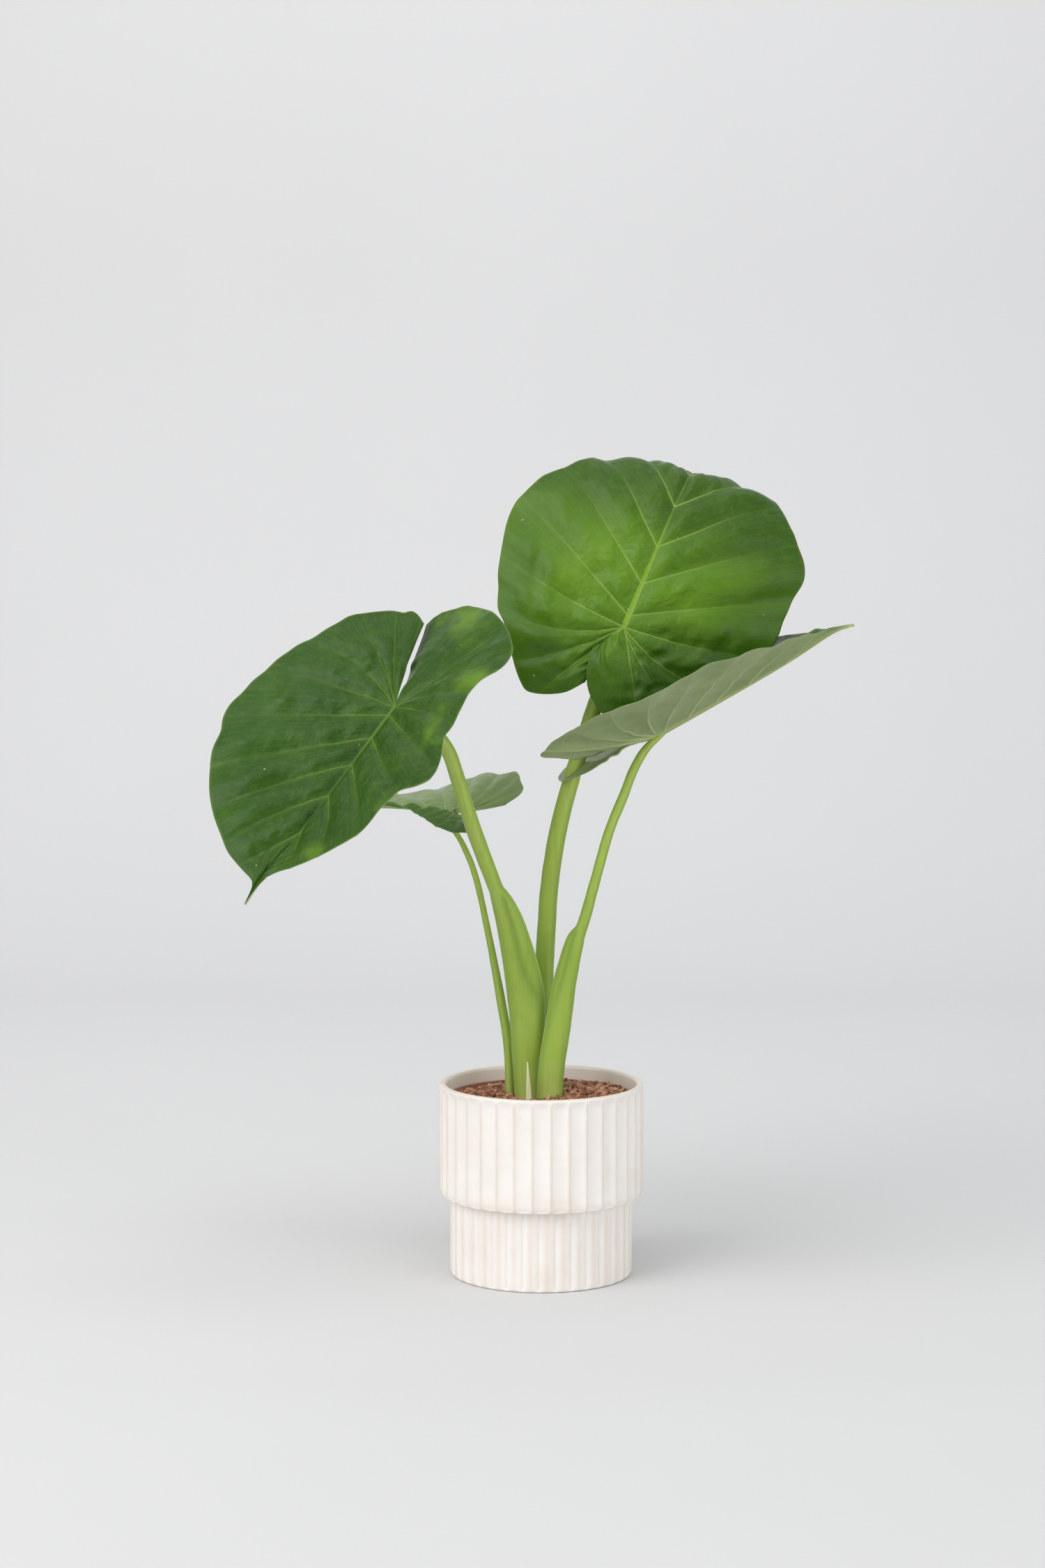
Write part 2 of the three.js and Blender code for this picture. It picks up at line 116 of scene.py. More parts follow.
# ---- meshes
def make_mesh(name, verts, faces, materials, slots=None, attributes=None, smooth=True):
    """Mesh object from arrays: faces is a list of index tuples or an (n, 4) array."""
    mesh = bpy.data.meshes.new(name)
    verts = np.asarray(verts, float) * MM
    mesh.vertices.add(len(verts))
    mesh.vertices.foreach_set("co", verts.ravel())
    lengths = np.array([len(f) for f in faces], int)
    flat = np.fromiter((i for f in faces for i in f), int)
    mesh.loops.add(int(lengths.sum()))
    mesh.loops.foreach_set("vertex_index", flat)
    mesh.polygons.add(len(faces))
    mesh.polygons.foreach_set("loop_start", np.concatenate([[0], np.cumsum(lengths)[:-1]]))
    for m in materials:
        mesh.materials.append(m)
    if slots is not None:
        mesh.polygons.foreach_set("material_index", np.asarray(slots, int))
    for key, values in (attributes or {}).items():
        layer = mesh.attributes.new(key, "FLOAT", "POINT")
        layer.data.foreach_set("value", np.asarray(values, float))
    mesh.update(calc_edges=True)
    mesh.validate()
    mesh.polygons.foreach_set("use_smooth", [smooth] * len(mesh.polygons))
    obj = bpy.data.objects.new(name, mesh)
    bpy.context.collection.objects.link(obj)
    return obj


def grid_faces(rows, cols, wrap=False, start=0, flip=False):
    """Quads of a rows x cols grid of vertices, numbered row by row."""
    faces = []
    last = cols if wrap else cols - 1
    for i in range(rows - 1):
        for j in range(last):
            a = start + i * cols + j
            b = start + i * cols + (j + 1) % cols
            c = start + (i + 1) * cols + (j + 1) % cols
            d = start + (i + 1) * cols + j
            faces.append((a, d, c, b) if flip else (a, b, c, d))
    return faces


def capped(rows, cols, first, last):
    """Faces of a tube of rings, closed by fans to the vertices first and last."""
    faces = grid_faces(rows, cols, wrap=True)
    top = (rows - 1) * cols
    for j in range(cols):
        k = (j + 1) % cols
        faces += [(first, k, j), (last, top + j, top + k)]
    return faces


def around(sides):
    """Angles of a ring of `sides` vertices."""
    return np.arange(sides) * 2 * math.pi / sides


def ring_points(radius, angle, z):
    """Points of rings round the Z axis, as one (n, 3) array."""
    x, y = radius * np.cos(angle), radius * np.sin(angle)
    return np.stack([x, y, z + 0 * x], -1).reshape(-1, 3)


# ---- materials
class Nodes:
    """Short-hand for building one material's node tree."""

    def __init__(self, name, **principled):
        self.mat = bpy.data.materials.new(name)
        self.mat.use_nodes = True
        self.tree = self.mat.node_tree
        self.bsdf = self.tree.nodes["Principled BSDF"]
        for key, value in principled.items():
            self.bsdf.inputs[key.replace("_", " ")].default_value = value
        self.coords = self.add("ShaderNodeTexCoord").outputs["Object"]

    def add(self, kind, **settings):
        node = self.tree.nodes.new(kind)
        for key, value in settings.items():
            setattr(node, key, value)
        return node

    def link(self, out, socket):
        self.tree.links.new(out, socket)

    def put(self, value, socket):
        if isinstance(value, bpy.types.NodeSocket):
            self.link(value, socket)
        elif value is not None:
            socket.default_value = value

    def math(self, op, a, b=None):
        node = self.add("ShaderNodeMath", operation=op)
        self.put(a, node.inputs[0])
        self.put(b, node.inputs[1])
        return node.outputs[0]

    def times(self, a, b):
        return self.math("MULTIPLY", a, b)

    def noise(self, scale, detail=2.0, rough=0.5, distort=0.0, squash=None):
        node = self.add("ShaderNodeTexNoise")
        for key, value in zip(("Scale", "Detail", "Roughness", "Distortion"), (scale, detail, rough, distort)):
            node.inputs[key].default_value = value
        vec = self.coords
        if squash:
            mapping = self.add("ShaderNodeMapping")
            mapping.inputs["Scale"].default_value = squash
            self.link(vec, mapping.inputs["Vector"])
            vec = mapping.outputs[0]
        self.link(vec, node.inputs["Vector"])
        return node.outputs["Fac"]

    def voronoi(self, scale, feature="F1"):
        node = self.add("ShaderNodeTexVoronoi", feature=feature)
        node.inputs["Scale"].default_value = scale
        self.link(self.coords, node.inputs["Vector"])
        return node.outputs["Distance"]

    def attr(self, name):
        return self.add("ShaderNodeAttribute", attribute_name=name).outputs["Fac"]

    def attrs(self, names):
        return [self.attr(name) for name in names.split()]

    def step(self, a, b, value, lo=0.0, hi=1.0):
        """Smooth step of `value` from lo at a to hi at b."""
        node = self.add("ShaderNodeMapRange", interpolation_type="SMOOTHSTEP")
        keys = ("Value", "From Min", "From Max", "To Min", "To Max")
        for key, v in zip(keys, (value, a, b, lo, hi)):
            self.put(v, node.inputs[key])
        return node.outputs[0]

    def off_vein(self, phase, gap):
        """Distance in mm from the nearest side vein."""
        part = self.math("FRACT", self.math("ADD", phase, 0.5))
        return self.times(self.math("ABSOLUTE", self.math("SUBTRACT", part, 0.5)), gap)

    def ramp(self, fac, stops):
        node = self.add("ShaderNodeValToRGB")
        ramp = node.color_ramp
        while len(ramp.elements) < len(stops):
            ramp.elements.new(0.5)
        for element, (pos, colour) in zip(ramp.elements, stops):
            element.position = pos
            element.color = srgb(colour)
        self.put(fac, node.inputs[0])
        return node.outputs[0]

    def mix(self, fac, a, b):
        """Colour a turned to b by fac; a colour is a socket or a 0-255 triple."""
        node = self.add("ShaderNodeMix", data_type="RGBA")
        self.put(fac, node.inputs[0])
        for colour, socket in ((a, node.inputs[6]), (b, node.inputs[7])):
            self.put(srgb(colour) if isinstance(colour, tuple) else colour, socket)
        return node.outputs[2]

    def bump(self, height, distance, strength=1.0, under=None):
        node = self.add("ShaderNodeBump")
        node.inputs["Strength"].default_value = strength
        node.inputs["Distance"].default_value = distance
        self.link(height, node.inputs["Height"])
        if under:
            self.link(under, node.inputs["Normal"])
        return node.outputs[0]

    def finish(self, colour=None, rough=None, normal=None):
        for value, key in ((colour, "Base Color"), (rough, "Roughness"), (normal, "Normal")):
            self.put(value, self.bsdf.inputs[key])
        return self.mat


def srgb(c):
    """0-255 sRGB triple to linear RGBA."""
    parts = [v / 255.0 for v in c]
    return (*(v / 12.92 if v <= 0.04045 else ((v + 0.055) / 1.055) ** 2.4 for v in parts), 1.0)


def glaze_material():
    n = Nodes("cream_glaze", Coat_Weight=0.2, Coat_Roughness=0.12)
    ridge = n.attr("ridge")
    base = n.mix(n.step(0.3, 0.7, n.noise(26, 3, 0.6)), (247, 242, 237), (242, 236, 229))
    thin = n.times(n.step(0.55, 0.8, n.noise(48)), 0.22)
    base = n.mix(thin, base, (226, 210, 192))
    edge = n.times(ridge, n.step(0.25, 0.65, n.noise(60), 0.6, 1))
    colour = n.mix(edge, base, (217, 190, 164))
    colour = n.mix(n.attr("inner"), colour, (252, 244, 235))
    rough = n.step(0.3, 0.7, n.noise(90, 3, 0.6), 0.28, 0.4)
    height = n.math("ADD", n.noise(70), n.times(n.noise(420), 0.12))
    return n.finish(colour, rough, n.bump(height, 0.0004, 0.3))


def grow_material():
    n = Nodes("terracotta_plastic", Coat_Weight=0.05)
    patch = n.noise(60, 4, 0.6)
    colour = n.mix(n.step(0.3, 0.7, patch), (150, 84, 60), (120, 66, 48))
    dust = n.step(0.5, 0.72, n.noise(300, 4, 0.65))
    colour = n.mix(n.times(dust, 0.35), colour, (168, 132, 108))
    rough = n.step(0.3, 0.7, n.noise(150, 3, 0.5), 0.45, 0.7)
    return n.finish(colour, rough, n.bump(n.noise(700), 0.0002, 0.4))


def soil_material():
    n = Nodes("coir_soil", Roughness=0.95)
    grain = n.noise(420, 5, 0.7)
    cells = n.voronoi(330)
    colour = n.ramp(grain, [(0.25, (104, 64, 46)), (0.5, (160, 108, 80)), (0.68, (190, 140, 110)),
                            (0.82, (214, 176, 146))])
    colour = n.mix(n.step(0, 0.35, cells, 0.65, 0), colour, (44, 27, 19))
    height = n.math("ADD", grain, n.times(cells, 0.6))
    return n.finish(colour, None, n.bump(height, 0.002, 0.9))


def bark_material(name, dark, mid, light):
    n = Nodes(name, Roughness=0.9)
    tint = n.attr("tint")
    fibre = n.noise(300, 4, 0.7, squash=(1, 1, 0.3))
    t = n.math("ADD", n.times(tint, 0.65), n.times(fibre, 0.35))
    colour = n.ramp(t, [(0.15, dark), (0.5, mid), (0.9, light)])
    return n.finish(colour, None, n.bump(fibre, 0.0008, 0.8))


def blade_upper_material():
    n = Nodes("leaf_upper", Coat_Weight=0.1, Coat_Roughness=0.2, Specular_IOR_Level=0.15)
    phase, gap, reach, rib, along, young, tone = n.attrs("phase gap reach rib along young tone")
    vein_d = n.off_vein(phase, gap)
    half_w = n.step(0, 0.8, reach, n.step(0, 1, tone, 0.22, 0.36), 0.06)
    vein = n.step(half_w, n.math("ADD", half_w, 0.36), vein_d, 1, 0)
    fade = n.step(0, 1, tone, 0.55, 0.85)
    vein = n.times(vein, n.step(0.05, fade, reach, 0.62, 0.05))
    vein = n.times(vein, n.step(0, 1, tone, 0.38, 1))
    halo = n.times(n.step(0, 4.5, vein_d, 1, 0), n.step(0.1, 0.8, reach, 0.16, 0.03))
    fine_p = n.math("ADD", n.times(phase, 7.0), n.times(n.noise(45), 1.4))
    fine = n.math("ABSOLUTE", n.math("SUBTRACT", n.math("FRACT", fine_p), 0.5))
    fine = n.times(n.step(0, 0.12, fine, 1, 0), 0.07)
    net = n.times(n.step(0, 0.07, n.voronoi(330, "DISTANCE_TO_EDGE"), 1, 0), 0.06)
    cloud = n.noise(17, 4, 0.6, 0.4)
    dark = n.ramp(cloud, [(0.25, (28, 58, 8)), (0.45, (36, 68, 10)), (0.62, (44, 78, 14)), (0.85, (62, 98, 20))])
    light = n.ramp(cloud, [(0.25, (62, 102, 13)), (0.45, (84, 124, 19)), (0.62, (94, 133, 24)),
                           (0.85, (112, 148, 33))])
    light = n.mix(n.step(0.3, 0.85, reach, 0, 0.5), light, (46, 80, 14))
    # Painted shade: the light green is darkened where the shade attribute is set.
    light = n.mix(n.times(n.attr("shade"), 0.7), light, (36, 66, 10))
    # Mixed by the blade's own darker or lighter green; on leaf D's far half the lighter value is painted sheen.
    base = n.mix(tone, dark, light)
    base = n.mix(n.step(0.35, 0.7, n.noise(7.5), 0, 0.4), base, (46, 86, 18))
    patch = n.times(young, n.step(0.48, 0.72, n.noise(24, 3, 0.55), 0, 0.6))
    base = n.mix(patch, base, (108, 146, 30))
    base = n.mix(n.step(0.42, 0.75, n.noise(160, 3, 0.6), 0, 0.16), base, (90, 128, 36))
    base = n.mix(halo, base, (110, 146, 50))
    base = n.mix(n.math("ADD", fine, net), base, (120, 152, 66))
    base = n.mix(vein, base, (138, 166, 80))
    rib_w = n.step(0, 0.5, along, n.step(0, 1, tone, 0.9, 1.7), 0.2)
    rib_m = n.step(rib_w, n.math("ADD", rib_w, 0.7), rib, 1, 0)
    rib_m = n.times(rib_m, n.step(0.04, 0.6, along, 0.8, 0.16))
    base = n.mix(rib_m, base, n.mix(tone, (84, 122, 38), (132, 166, 54)))
    margin = n.step(0.98, 0.998, reach)
    base = n.mix(n.times(margin, 0.4), base, (110, 132, 60))
    spot = n.step(0.80, 0.84, n.noise(230, 1, 0.4))
    base = n.mix(n.times(spot, 0.45), base, (176, 188, 140))
    rough = n.step(0.3, 0.7, n.noise(70, 3, 0.6), 0.3, 0.44)
    height = n.math("ADD", n.times(n.noise(900, 2, 0.6), 0.25), n.noise(190, 3, 0.6))
    height = n.math("SUBTRACT", height, n.times(fine, 2.5))
    # Painted sheen: pale grey-green where a blade would reflect the bright studio at a grazing angle.
    base = n.mix(n.attr("pale"), base, (150, 164, 118))
    crease = n.times(n.noise(105, 2, 0.45, 0.8), n.step(0.15, 0.85, reach, 1, 0.15))
    return n.finish(base, rough, n.bump(height, 0.0005, 0.4, n.bump(crease, 0.004, 0.5)))


def blade_under_material():
    n = Nodes("leaf_under", Specular_IOR_Level=0.35)
    phase, gap, reach, rib, along = n.attrs("phase gap reach rib along")
    vein_d = n.off_vein(phase, gap)
    half_w = n.step(0, 0.9, reach, 0.6, 0.15)
    vein = n.step(half_w, n.math("ADD", half_w, 0.5), vein_d, 1, 0)
    vein = n.times(vein, n.step(0.15, 1, reach, 0.75, 0.25))
    net = n.times(n.step(0, 0.06, n.voronoi(300, "DISTANCE_TO_EDGE"), 1, 0), 0.16)
    cloud = n.noise(22, 4, 0.6)
    base = n.ramp(cloud, [(0.25, (122, 140, 90)), (0.5, (138, 155, 105)), (0.8, (156, 170, 126))])
    base = n.mix(net, base, (98, 118, 72))
    base = n.mix(vein, base, (176, 188, 140))
    rib_w = n.step(0, 1, along, 2.2, 0.5)
    rib_m = n.step(rib_w, n.math("ADD", rib_w, 0.9), rib, 1, 0)
    base = n.mix(n.times(rib_m, 0.85), base, (164, 178, 118))
    rough = n.step(0.3, 0.7, n.noise(80, 3, 0.6), 0.5, 0.66)
    return n.finish(base, rough, n.bump(n.noise(420, 3, 0.6), 0.0004, 0.4))


def stalk_material():
    n = Nodes("leaf_stalk", Specular_IOR_Level=0.35, Coat_Weight=0.08, Coat_Roughness=0.25)
    height, wing, hollow, flank = n.attrs("height wing hollow flank")
    streak = n.noise(330, 3, 0.6, squash=(1, 1, 0.03))
    colour = n.ramp(height, [(0, (176, 194, 104)), (0.1, (158, 184, 72)), (0.3, (152, 178, 68)),
                             (0.55, (168, 192, 82)), (1, (182, 200, 100))])
    colour = n.mix(n.step(0.42, 0.72, streak, 0, 0.3), colour, (118, 154, 50))
    colour = n.mix(n.step(0.5, 0.75, n.noise(42, 3, 0.6), 0, 0.35), colour, (170, 192, 100))
    # Painted shade: darker green towards the stalk's left and right sides, as seen from the front.
    colour = n.mix(n.step(0.35, 1, flank, 0, 0.5), colour, (112, 146, 46))
    # Painted shade in the sheath's groove, on its side towards the front.
    colour = n.mix(n.times(hollow, 0.5), colour, (96, 134, 44))
    colour = n.mix(n.times(wing, 0.55), colour, (182, 194, 130))
    speck = n.step(0.76, 0.8, n.noise(620))
    colour = n.mix(n.times(speck, 0.25), colour, (104, 120, 52))
    rough = n.step(0.3, 0.7, n.noise(120, 3, 0.5), 0.34, 0.48)
    return n.finish(colour, rough, n.bump(streak, 0.0003, 0.4))


def sheath_material():
    n = Nodes("young_sheath", Roughness=0.6)
    streak = n.noise(600, 3, 0.6, squash=(1, 1, 0.06))
    colour = n.ramp(streak, [(0.3, (206, 208, 148)), (0.55, (230, 230, 190)), (0.8, (242, 242, 216))])
    return n.finish(colour, None, n.bump(streak, 0.0003, 0.5))


MAT = {
    "glaze": glaze_material(),
    "grow": grow_material(),
    "soil": soil_material(),
    "bark": bark_material("bark_chips", (92, 52, 36), (160, 106, 78), (208, 164, 134)),
    "fibre": bark_material("coir_fibres", (124, 74, 52), (192, 138, 106), (236, 202, 170)),
    "upper": blade_upper_material(),
    "under": blade_under_material(),
    "stalk": stalk_material(),
    "sheath": sheath_material(),
}


def claim(obj, slot, *nodes):
    """The piece rides on the root and stands for its CAD nodes."""
    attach(obj, "root")
    if nodes:
        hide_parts(*nodes)


# ---- cover pot
def fillet(points, rounds):
    """Profile with each corner i rounded by rounds[i] mm, in short steps."""
    out = []
    for i, p in enumerate(points):
        p = np.array(p, float)
        r = rounds[i]
        if r <= 0 or i in (0, len(points) - 1):
            out.append(p)
            continue
        a, b = np.array(points[i - 1], float) - p, np.array(points[i + 1], float) - p
        la, lb = np.linalg.norm(a), np.linalg.norm(b)
        cut = min(r, la * 0.48, lb * 0.48)
        pa, pb = p + a / la * cut, p + b / lb * cut
        out += [(1 - t) ** 2 * pa + 2 * t * (1 - t) * p + t ** 2 * pb for t in np.linspace(0, 1, 7)]
    return np.array(out)


def densify(profile, step):
    """Profile with points added so that none are more than `step` apart."""
    out = [profile[0]]
    for a, b in zip(profile[:-1], profile[1:]):
        n = max(1, int(math.ceil(np.linalg.norm(b - a) / step)))
        out += [a + (b - a) * k / n for k in range(1, n + 1)]
    return np.array(out)


def build_pot():
    corners = [
        (0, 0), (FOOT_R, 0), (FOOT_R, STEP_H), (POT_R, STEP_H), (POT_R, POT_H),
        (INNER_R, POT_H), (INNER_R, STEP_H + WALL), (FOOT_R - WALL, STEP_H - WALL),
        (FOOT_R - WALL, FLOOR_T), (0, FLOOR_T),
    ]
    rounds = [0, 3, 0.9, 5, 2.3, 2.4, 3, 3, 3, 0]
    profile = densify(fillet(corners, rounds), 3.2)[1:-1]
    sides = FLUTES * 16
    angle = around(sides)
    radius, z = profile[:, 0][:, None], profile[:, 1][:, None]
    outside = (np.arange(len(profile)) <= np.argmax(profile[:, 1])).astype(float)[:, None]
    flute_on = smoothstep(STEP_H - 0.4, STEP_H + 1.6, z) * outside
    flute_on = flute_on * (1 - smoothstep(POT_H - 5.0, POT_H - 1.2, z))
    on_wall = smoothstep(POT_R - 6.0, POT_R - 2.0, radius)
    reed_on = smoothstep(0.3, 2.6, z) * (1 - smoothstep(STEP_H - 1.2, STEP_H - 0.2, z)) * outside
    reed_on = reed_on * (radius < FOOT_R + 0.5) * smoothstep(FOOT_R - 4, FOOT_R - 0.6, radius)
    turns = FLUTES / (2 * math.pi)
    facing = angle[None, :] + math.pi / 2
    s = 2 * np.abs((facing * turns + 0.5) % 1.0 - 0.5)              # 0 in a flute, 1 on its ridge
    r = 2 * np.abs(((facing - REED_TURN) * turns) % 1.0 - 0.5)      # 0 on a reed, 1 in its groove
    depth = (1 - s ** 2.4) * FLUTE_DEPTH * flute_on * on_wall + REED_DEPTH * r ** 3.2 * reed_on
    cut = radius - depth
    wobble = noise3(ring_points(cut, angle, z), 34, 5).reshape(cut.shape) * THROWN_WOBBLE
    verts = ring_points(cut + wobble * np.maximum(flute_on, reed_on), angle, z)
    centre = len(verts)
    verts = np.vstack([verts, [0, 0, 0], [0, 0, FLOOR_T]])
    faces = capped(len(profile), sides, centre, centre + 1)
    ridge = smoothstep(0.72, 1.0, s) * flute_on * on_wall * 0.42
    ridge = np.maximum(ridge, np.exp(-(r / 0.34) ** 2) * reed_on * 0.32)
    rim = smoothstep(POT_H - 1.5, POT_H - 0.2, z) * 0.5
    bead = np.exp(-((z - (STEP_H + 3.2)) / 1.6) ** 2) * outside * (radius > FOOT_R + 3) * 0.16
    ridge = np.append(np.maximum(ridge, np.maximum(rim, bead)).ravel(), [0, 0])
    inner = (1 - outside) * smoothstep(POT_H - 0.5, POT_H - 3.5, z)
    inner = np.append(np.repeat(inner, sides), [0, 1])
    pot = make_mesh("cover_pot", verts, faces, [MAT["glaze"]], attributes={"ridge": ridge, "inner": inner})
    claim(pot, "glaze", "pot")


# ---- grow pot
def build_grow_pot():
    base = FLOOR_T + CLEAR
    foot = min(GROW_R * GROW_FOOT_RATIO, FOOT_R - WALL - CLEAR)
    inside = GROW_R - GROW_WALL
    corners = [
        (0, base), (foot, base), (GROW_R, LIP_Z - 6), (LIP_R, LIP_Z - 4.5), (LIP_R, LIP_Z),
        (inside, LIP_Z), (inside, LIP_Z - 6), (foot - GROW_WALL, base + GROW_WALL), (0, base + GROW_WALL),
    ]
    rounds = [0, 2, 1, 1, 1.1, 0.9, 1, 1, 0]
    profile = densify(fillet(corners, rounds), 6)[1:-1]
    sides = 160
    verts = ring_points(profile[:, :1], around(sides), profile[:, 1:])
    centre = len(verts)
    verts = np.vstack([verts, [0, 0, base], [0, 0, base + GROW_WALL]])
    faces = capped(len(profile), sides, centre, centre + 1)
    obj = make_mesh("grow_pot_shell", verts, faces, [MAT["grow"]])
    claim(obj, "grow_plastic", "grow_pot")


# ---- soil
def soil_height(x, y):
    d2 = (x - HEAP_AT[0]) ** 2 + (y - HEAP_AT[1]) ** 2
    heap = SOIL_HEAP * np.exp(-d2 / (2 * HEAP_SPREAD ** 2))
    rim = np.clip((SOIL_R - np.hypot(x, y)) / 6, 0, 1)
    return SOIL_Z + heap * rim


def build_soil():
    above_floor = CLEAR + GROW_WALL + CLEAR
    foot = GROW_R * GROW_FOOT_RATIO - above_floor
    rings, sides = 120, 300
    radius = SOIL_R * np.linspace(1, 0, rings, endpoint=False)[:, None]
    angle = around(sides)
    top = ring_points(radius, angle, 0)
    rough = 1.1 * noise3(top, 9, 11) + 0.8 * noise3(top, 3.6, 12) + 0.45 * noise3(top, 1.7, 13)
    top[:, 2] = soil_height(top[:, 0], top[:, 1]) - 0.6 + rough
    under = FLOOR_T + above_floor
    lower = [ring_points(foot, angle, under), ring_points(SOIL_R, angle, LIP_Z - 7.0)]
    verts = np.vstack([*lower, top, [[0, 0, under], [0, 0, top[-1, 2]]]])
    faces = capped(rings + len(lower), sides, len(verts) - 2, len(verts) - 1)
    obj = make_mesh("soil_mass", verts, faces, [MAT["soil"]])
    claim(obj, "soil", "soil")


def soil_spot(rng):
    """Random point on the soil, clear of the middle of the clump."""
    while True:
        r = SOIL_R * 0.97 * math.sqrt(rng.random())
        a = rng.random() * 2 * math.pi
        x, y = r * math.cos(a), r * math.sin(a)
        if ((x - CLUMP_AT[0]) / CLUMP_R[0]) ** 2 + ((y - CLUMP_AT[1]) / CLUMP_R[1]) ** 2 > 1:
            return x, y


def rotation(rng, tilt):
    """Random turn about Z with a limited tilt, as a 3x3 matrix."""
    a = rng.random() * 2 * math.pi
    b, c = rng.normal() * tilt, rng.normal() * tilt
    rz = np.array([[math.cos(a), -math.sin(a), 0], [math.sin(a), math.cos(a), 0], [0, 0, 1]])
    ry = np.array([[math.cos(b), 0, math.sin(b)], [0, 1, 0], [-math.sin(b), 0, math.cos(b)]])
    rx = np.array([[1, 0, 0], [0, math.cos(c), -math.sin(c)], [0, math.sin(c), math.cos(c)]])
    return rz @ ry @ rx


def build_bark():
    rng = np.random.default_rng(7)
    verts, faces, tint = [], [], []
    sides = 7
    for _ in range(1500):
        x, y = soil_spot(rng)
        size = 1.0 + 2.6 * rng.random() ** 2.2
        dims = np.array([size * (0.8 + rng.random()), size * (0.5 + 0.4 * rng.random()),
                         size * (0.22 + 0.3 * rng.random())])
        turn = rotation(rng, 0.45)
        start = len(verts)
        centre = np.array([x, y, float(soil_height(x, y)) + 0.25 + 0.5 * rng.random()])
        outline = [(0.75 + 0.35 * rng.random()) for _ in range(sides)]
        for level, grow in ((-1, 0.72), (0, 1.0), (1, 0.7)):
            for k in range(sides):
                a = 2 * math.pi * k / sides
                wob = outline[k] * grow
                p = np.array([math.cos(a) * wob, math.sin(a) * wob, level * (0.8 + 0.3 * rng.random())]) * dims
                verts.append(turn @ p + centre)
        shade = rng.random()
        tint += [shade] * (3 * sides)
        faces += crumb_faces(3, sides, start)
    verts = keep_in(np.array(verts))
    obj = make_mesh("soil_bark", verts, faces, [MAT["bark"]], attributes={"tint": tint}, smooth=False)
    claim(obj, "soil")


def keep_in(verts):
    """Pull stray points back inside the grow pot's wall."""
    r = np.hypot(verts[:, 0], verts[:, 1])
    scale = np.where(r > SOIL_R, SOIL_R / np.maximum(r, 1e-6), 1.0)
    verts[:, :2] *= scale[:, None]
    return verts


def crumb_faces(rows, cols, start, flip=False):
    """Faces of one small tube of rings with a flat face at each end."""
    faces = grid_faces(rows, cols, wrap=True, start=start)
    first = tuple(start + k for k in range(cols))
    last = tuple(start + (rows - 1) * cols + k for k in range(cols))
    if flip:
        return [(b, a, d, c) for a, b, c, d in faces] + [first, last[::-1]]
    return faces + [first[::-1], last]


def build_fibres():
    rng = np.random.default_rng(21)
    verts, faces, tint = [], [], []
    sides, steps = 4, 7
    for _ in range(900):
        x, y = soil_spot(rng)
        length = 4 + 14 * rng.random() ** 1.6
        heading = rng.random() * 2 * math.pi
        bend = rng.normal() * 0.5
        arch = 0.3 + 1.4 * rng.random() ** 2
        width = 0.14 + 0.28 * rng.random() ** 2
        shade = rng.random()
        start = len(verts)
        px, py = x - math.cos(heading) * length / 2, y - math.sin(heading) * length / 2
        for i in range(steps + 1):
            t = i / steps
            h = heading + bend * (t - 0.5) * 2
            px += math.cos(h) * length / steps
            py += math.sin(h) * length / steps
            z = float(soil_height(px, py)) + 0.1 + arch * math.sin(math.pi * t) + 0.35
            w = width * (1 - 0.6 * abs(2 * t - 1))
            across = np.array([-math.sin(h), math.cos(h), 0])
            for k in range(sides):
                a = 2 * math.pi * k / sides + 0.4
                verts.append(np.array([px, py, z]) + across * w * math.cos(a) + np.array([0, 0, w * math.sin(a)]))
            tint += [shade] * sides
        faces += crumb_faces(steps + 1, sides, start, flip=True)
    verts = keep_in(np.array(verts))
    obj = make_mesh("soil_fibres", verts, faces, [MAT["fibre"]], attributes={"tint": tint})
    claim(obj, "soil")


# ---- leaves
# Sides are 1, the left half seen from the upper face, and -1, the right half.
# junction is measured from the soil; tip and face are the ways that the tip and
# the upper face point there.  bend, fold and curl are keyed along the midrib in
# degrees, curl per 100 mm of spread.  outline is keyed by degrees from the tip.
# stalk is the path above the soil, with its half width and half depth by height.
# sheath is its top, its open hand (1 is +X) and the place of its hollow by height.
PLAIN = dict(
    curl={1: [(0, 0)], -1: [(0, 0)]}, skew={1: 0, -1: 0}, lobe_lift={1: 0, -1: 0}, sweep=0,
    pale={}, dark_lobe=None, sheath=None, slender_end=False,
)
LEAVES = {}
LEAVES["a"] = dict(
    junction=(60, 5, 346), tip=(0.38, 0.15, 0.91), face=(-0.05, -0.97, 0.2),
    bend=[(-120, 10), (0, 0), (84, -10), (119, -33), (145, -73), (174, -115), (215, -150)],
    fold={1: [(0, 0)], -1: [(-80, 4), (0, 0)]},
    curl={1: [(0, -15)], -1: [(0, -18)]},
    outline={
        1: [(0, 215), (3, 207), (10, 192), (22, 164), (31, 146), (39, 138), (48, 136), (54, 131), (60, 130),
            (65, 125), (72, 115), (83, 106), (94, 98), (103, 95), (109, 88), (122, 85), (133, 85), (145, 86),
            (153, 75), (161, 63), (167, 48)],
        -1: [(0, 215), (3, 208), (10, 192), (25, 165), (33, 153), (40, 148), (46, 144), (52, 139), (57, 128),
             (64, 119), (70, 115), (80, 104), (89, 99), (99, 85), (108, 77), (118, 69), (126, 65), (140, 66),
             (156, 68), (172, 66), (188, 52), (203, 36), (213, 27)],
    },
    skew={1: -0.12, -1: 0.12}, lobe_lift={1: -3.0, -1: 4.0},
    # Leaf A's right half (-1) gets painted shade over its lobe.
    wave=1.6, young=0.12, tone={1: 1.0, -1: 1.0}, dark_lobe=-1, seed=3,
    stalk=[(3, 15, 0), (3, 15, 36), (2, 15, 87), (4, 16, 126), (6, 18, 155), (12, 20, 194), (22, 22, 233),
           (27, 24, 249), (39, 26, 286), (52, 24, 320), (60, 18, 341)],
    width=[(0, 8), (90, 7), (160, 6.6), (300, 5.6), (340, 4)],
    depth=[(0, 6.2), (90, 6.6), (160, 6.4), (300, 5.6), (340, 4)],
)
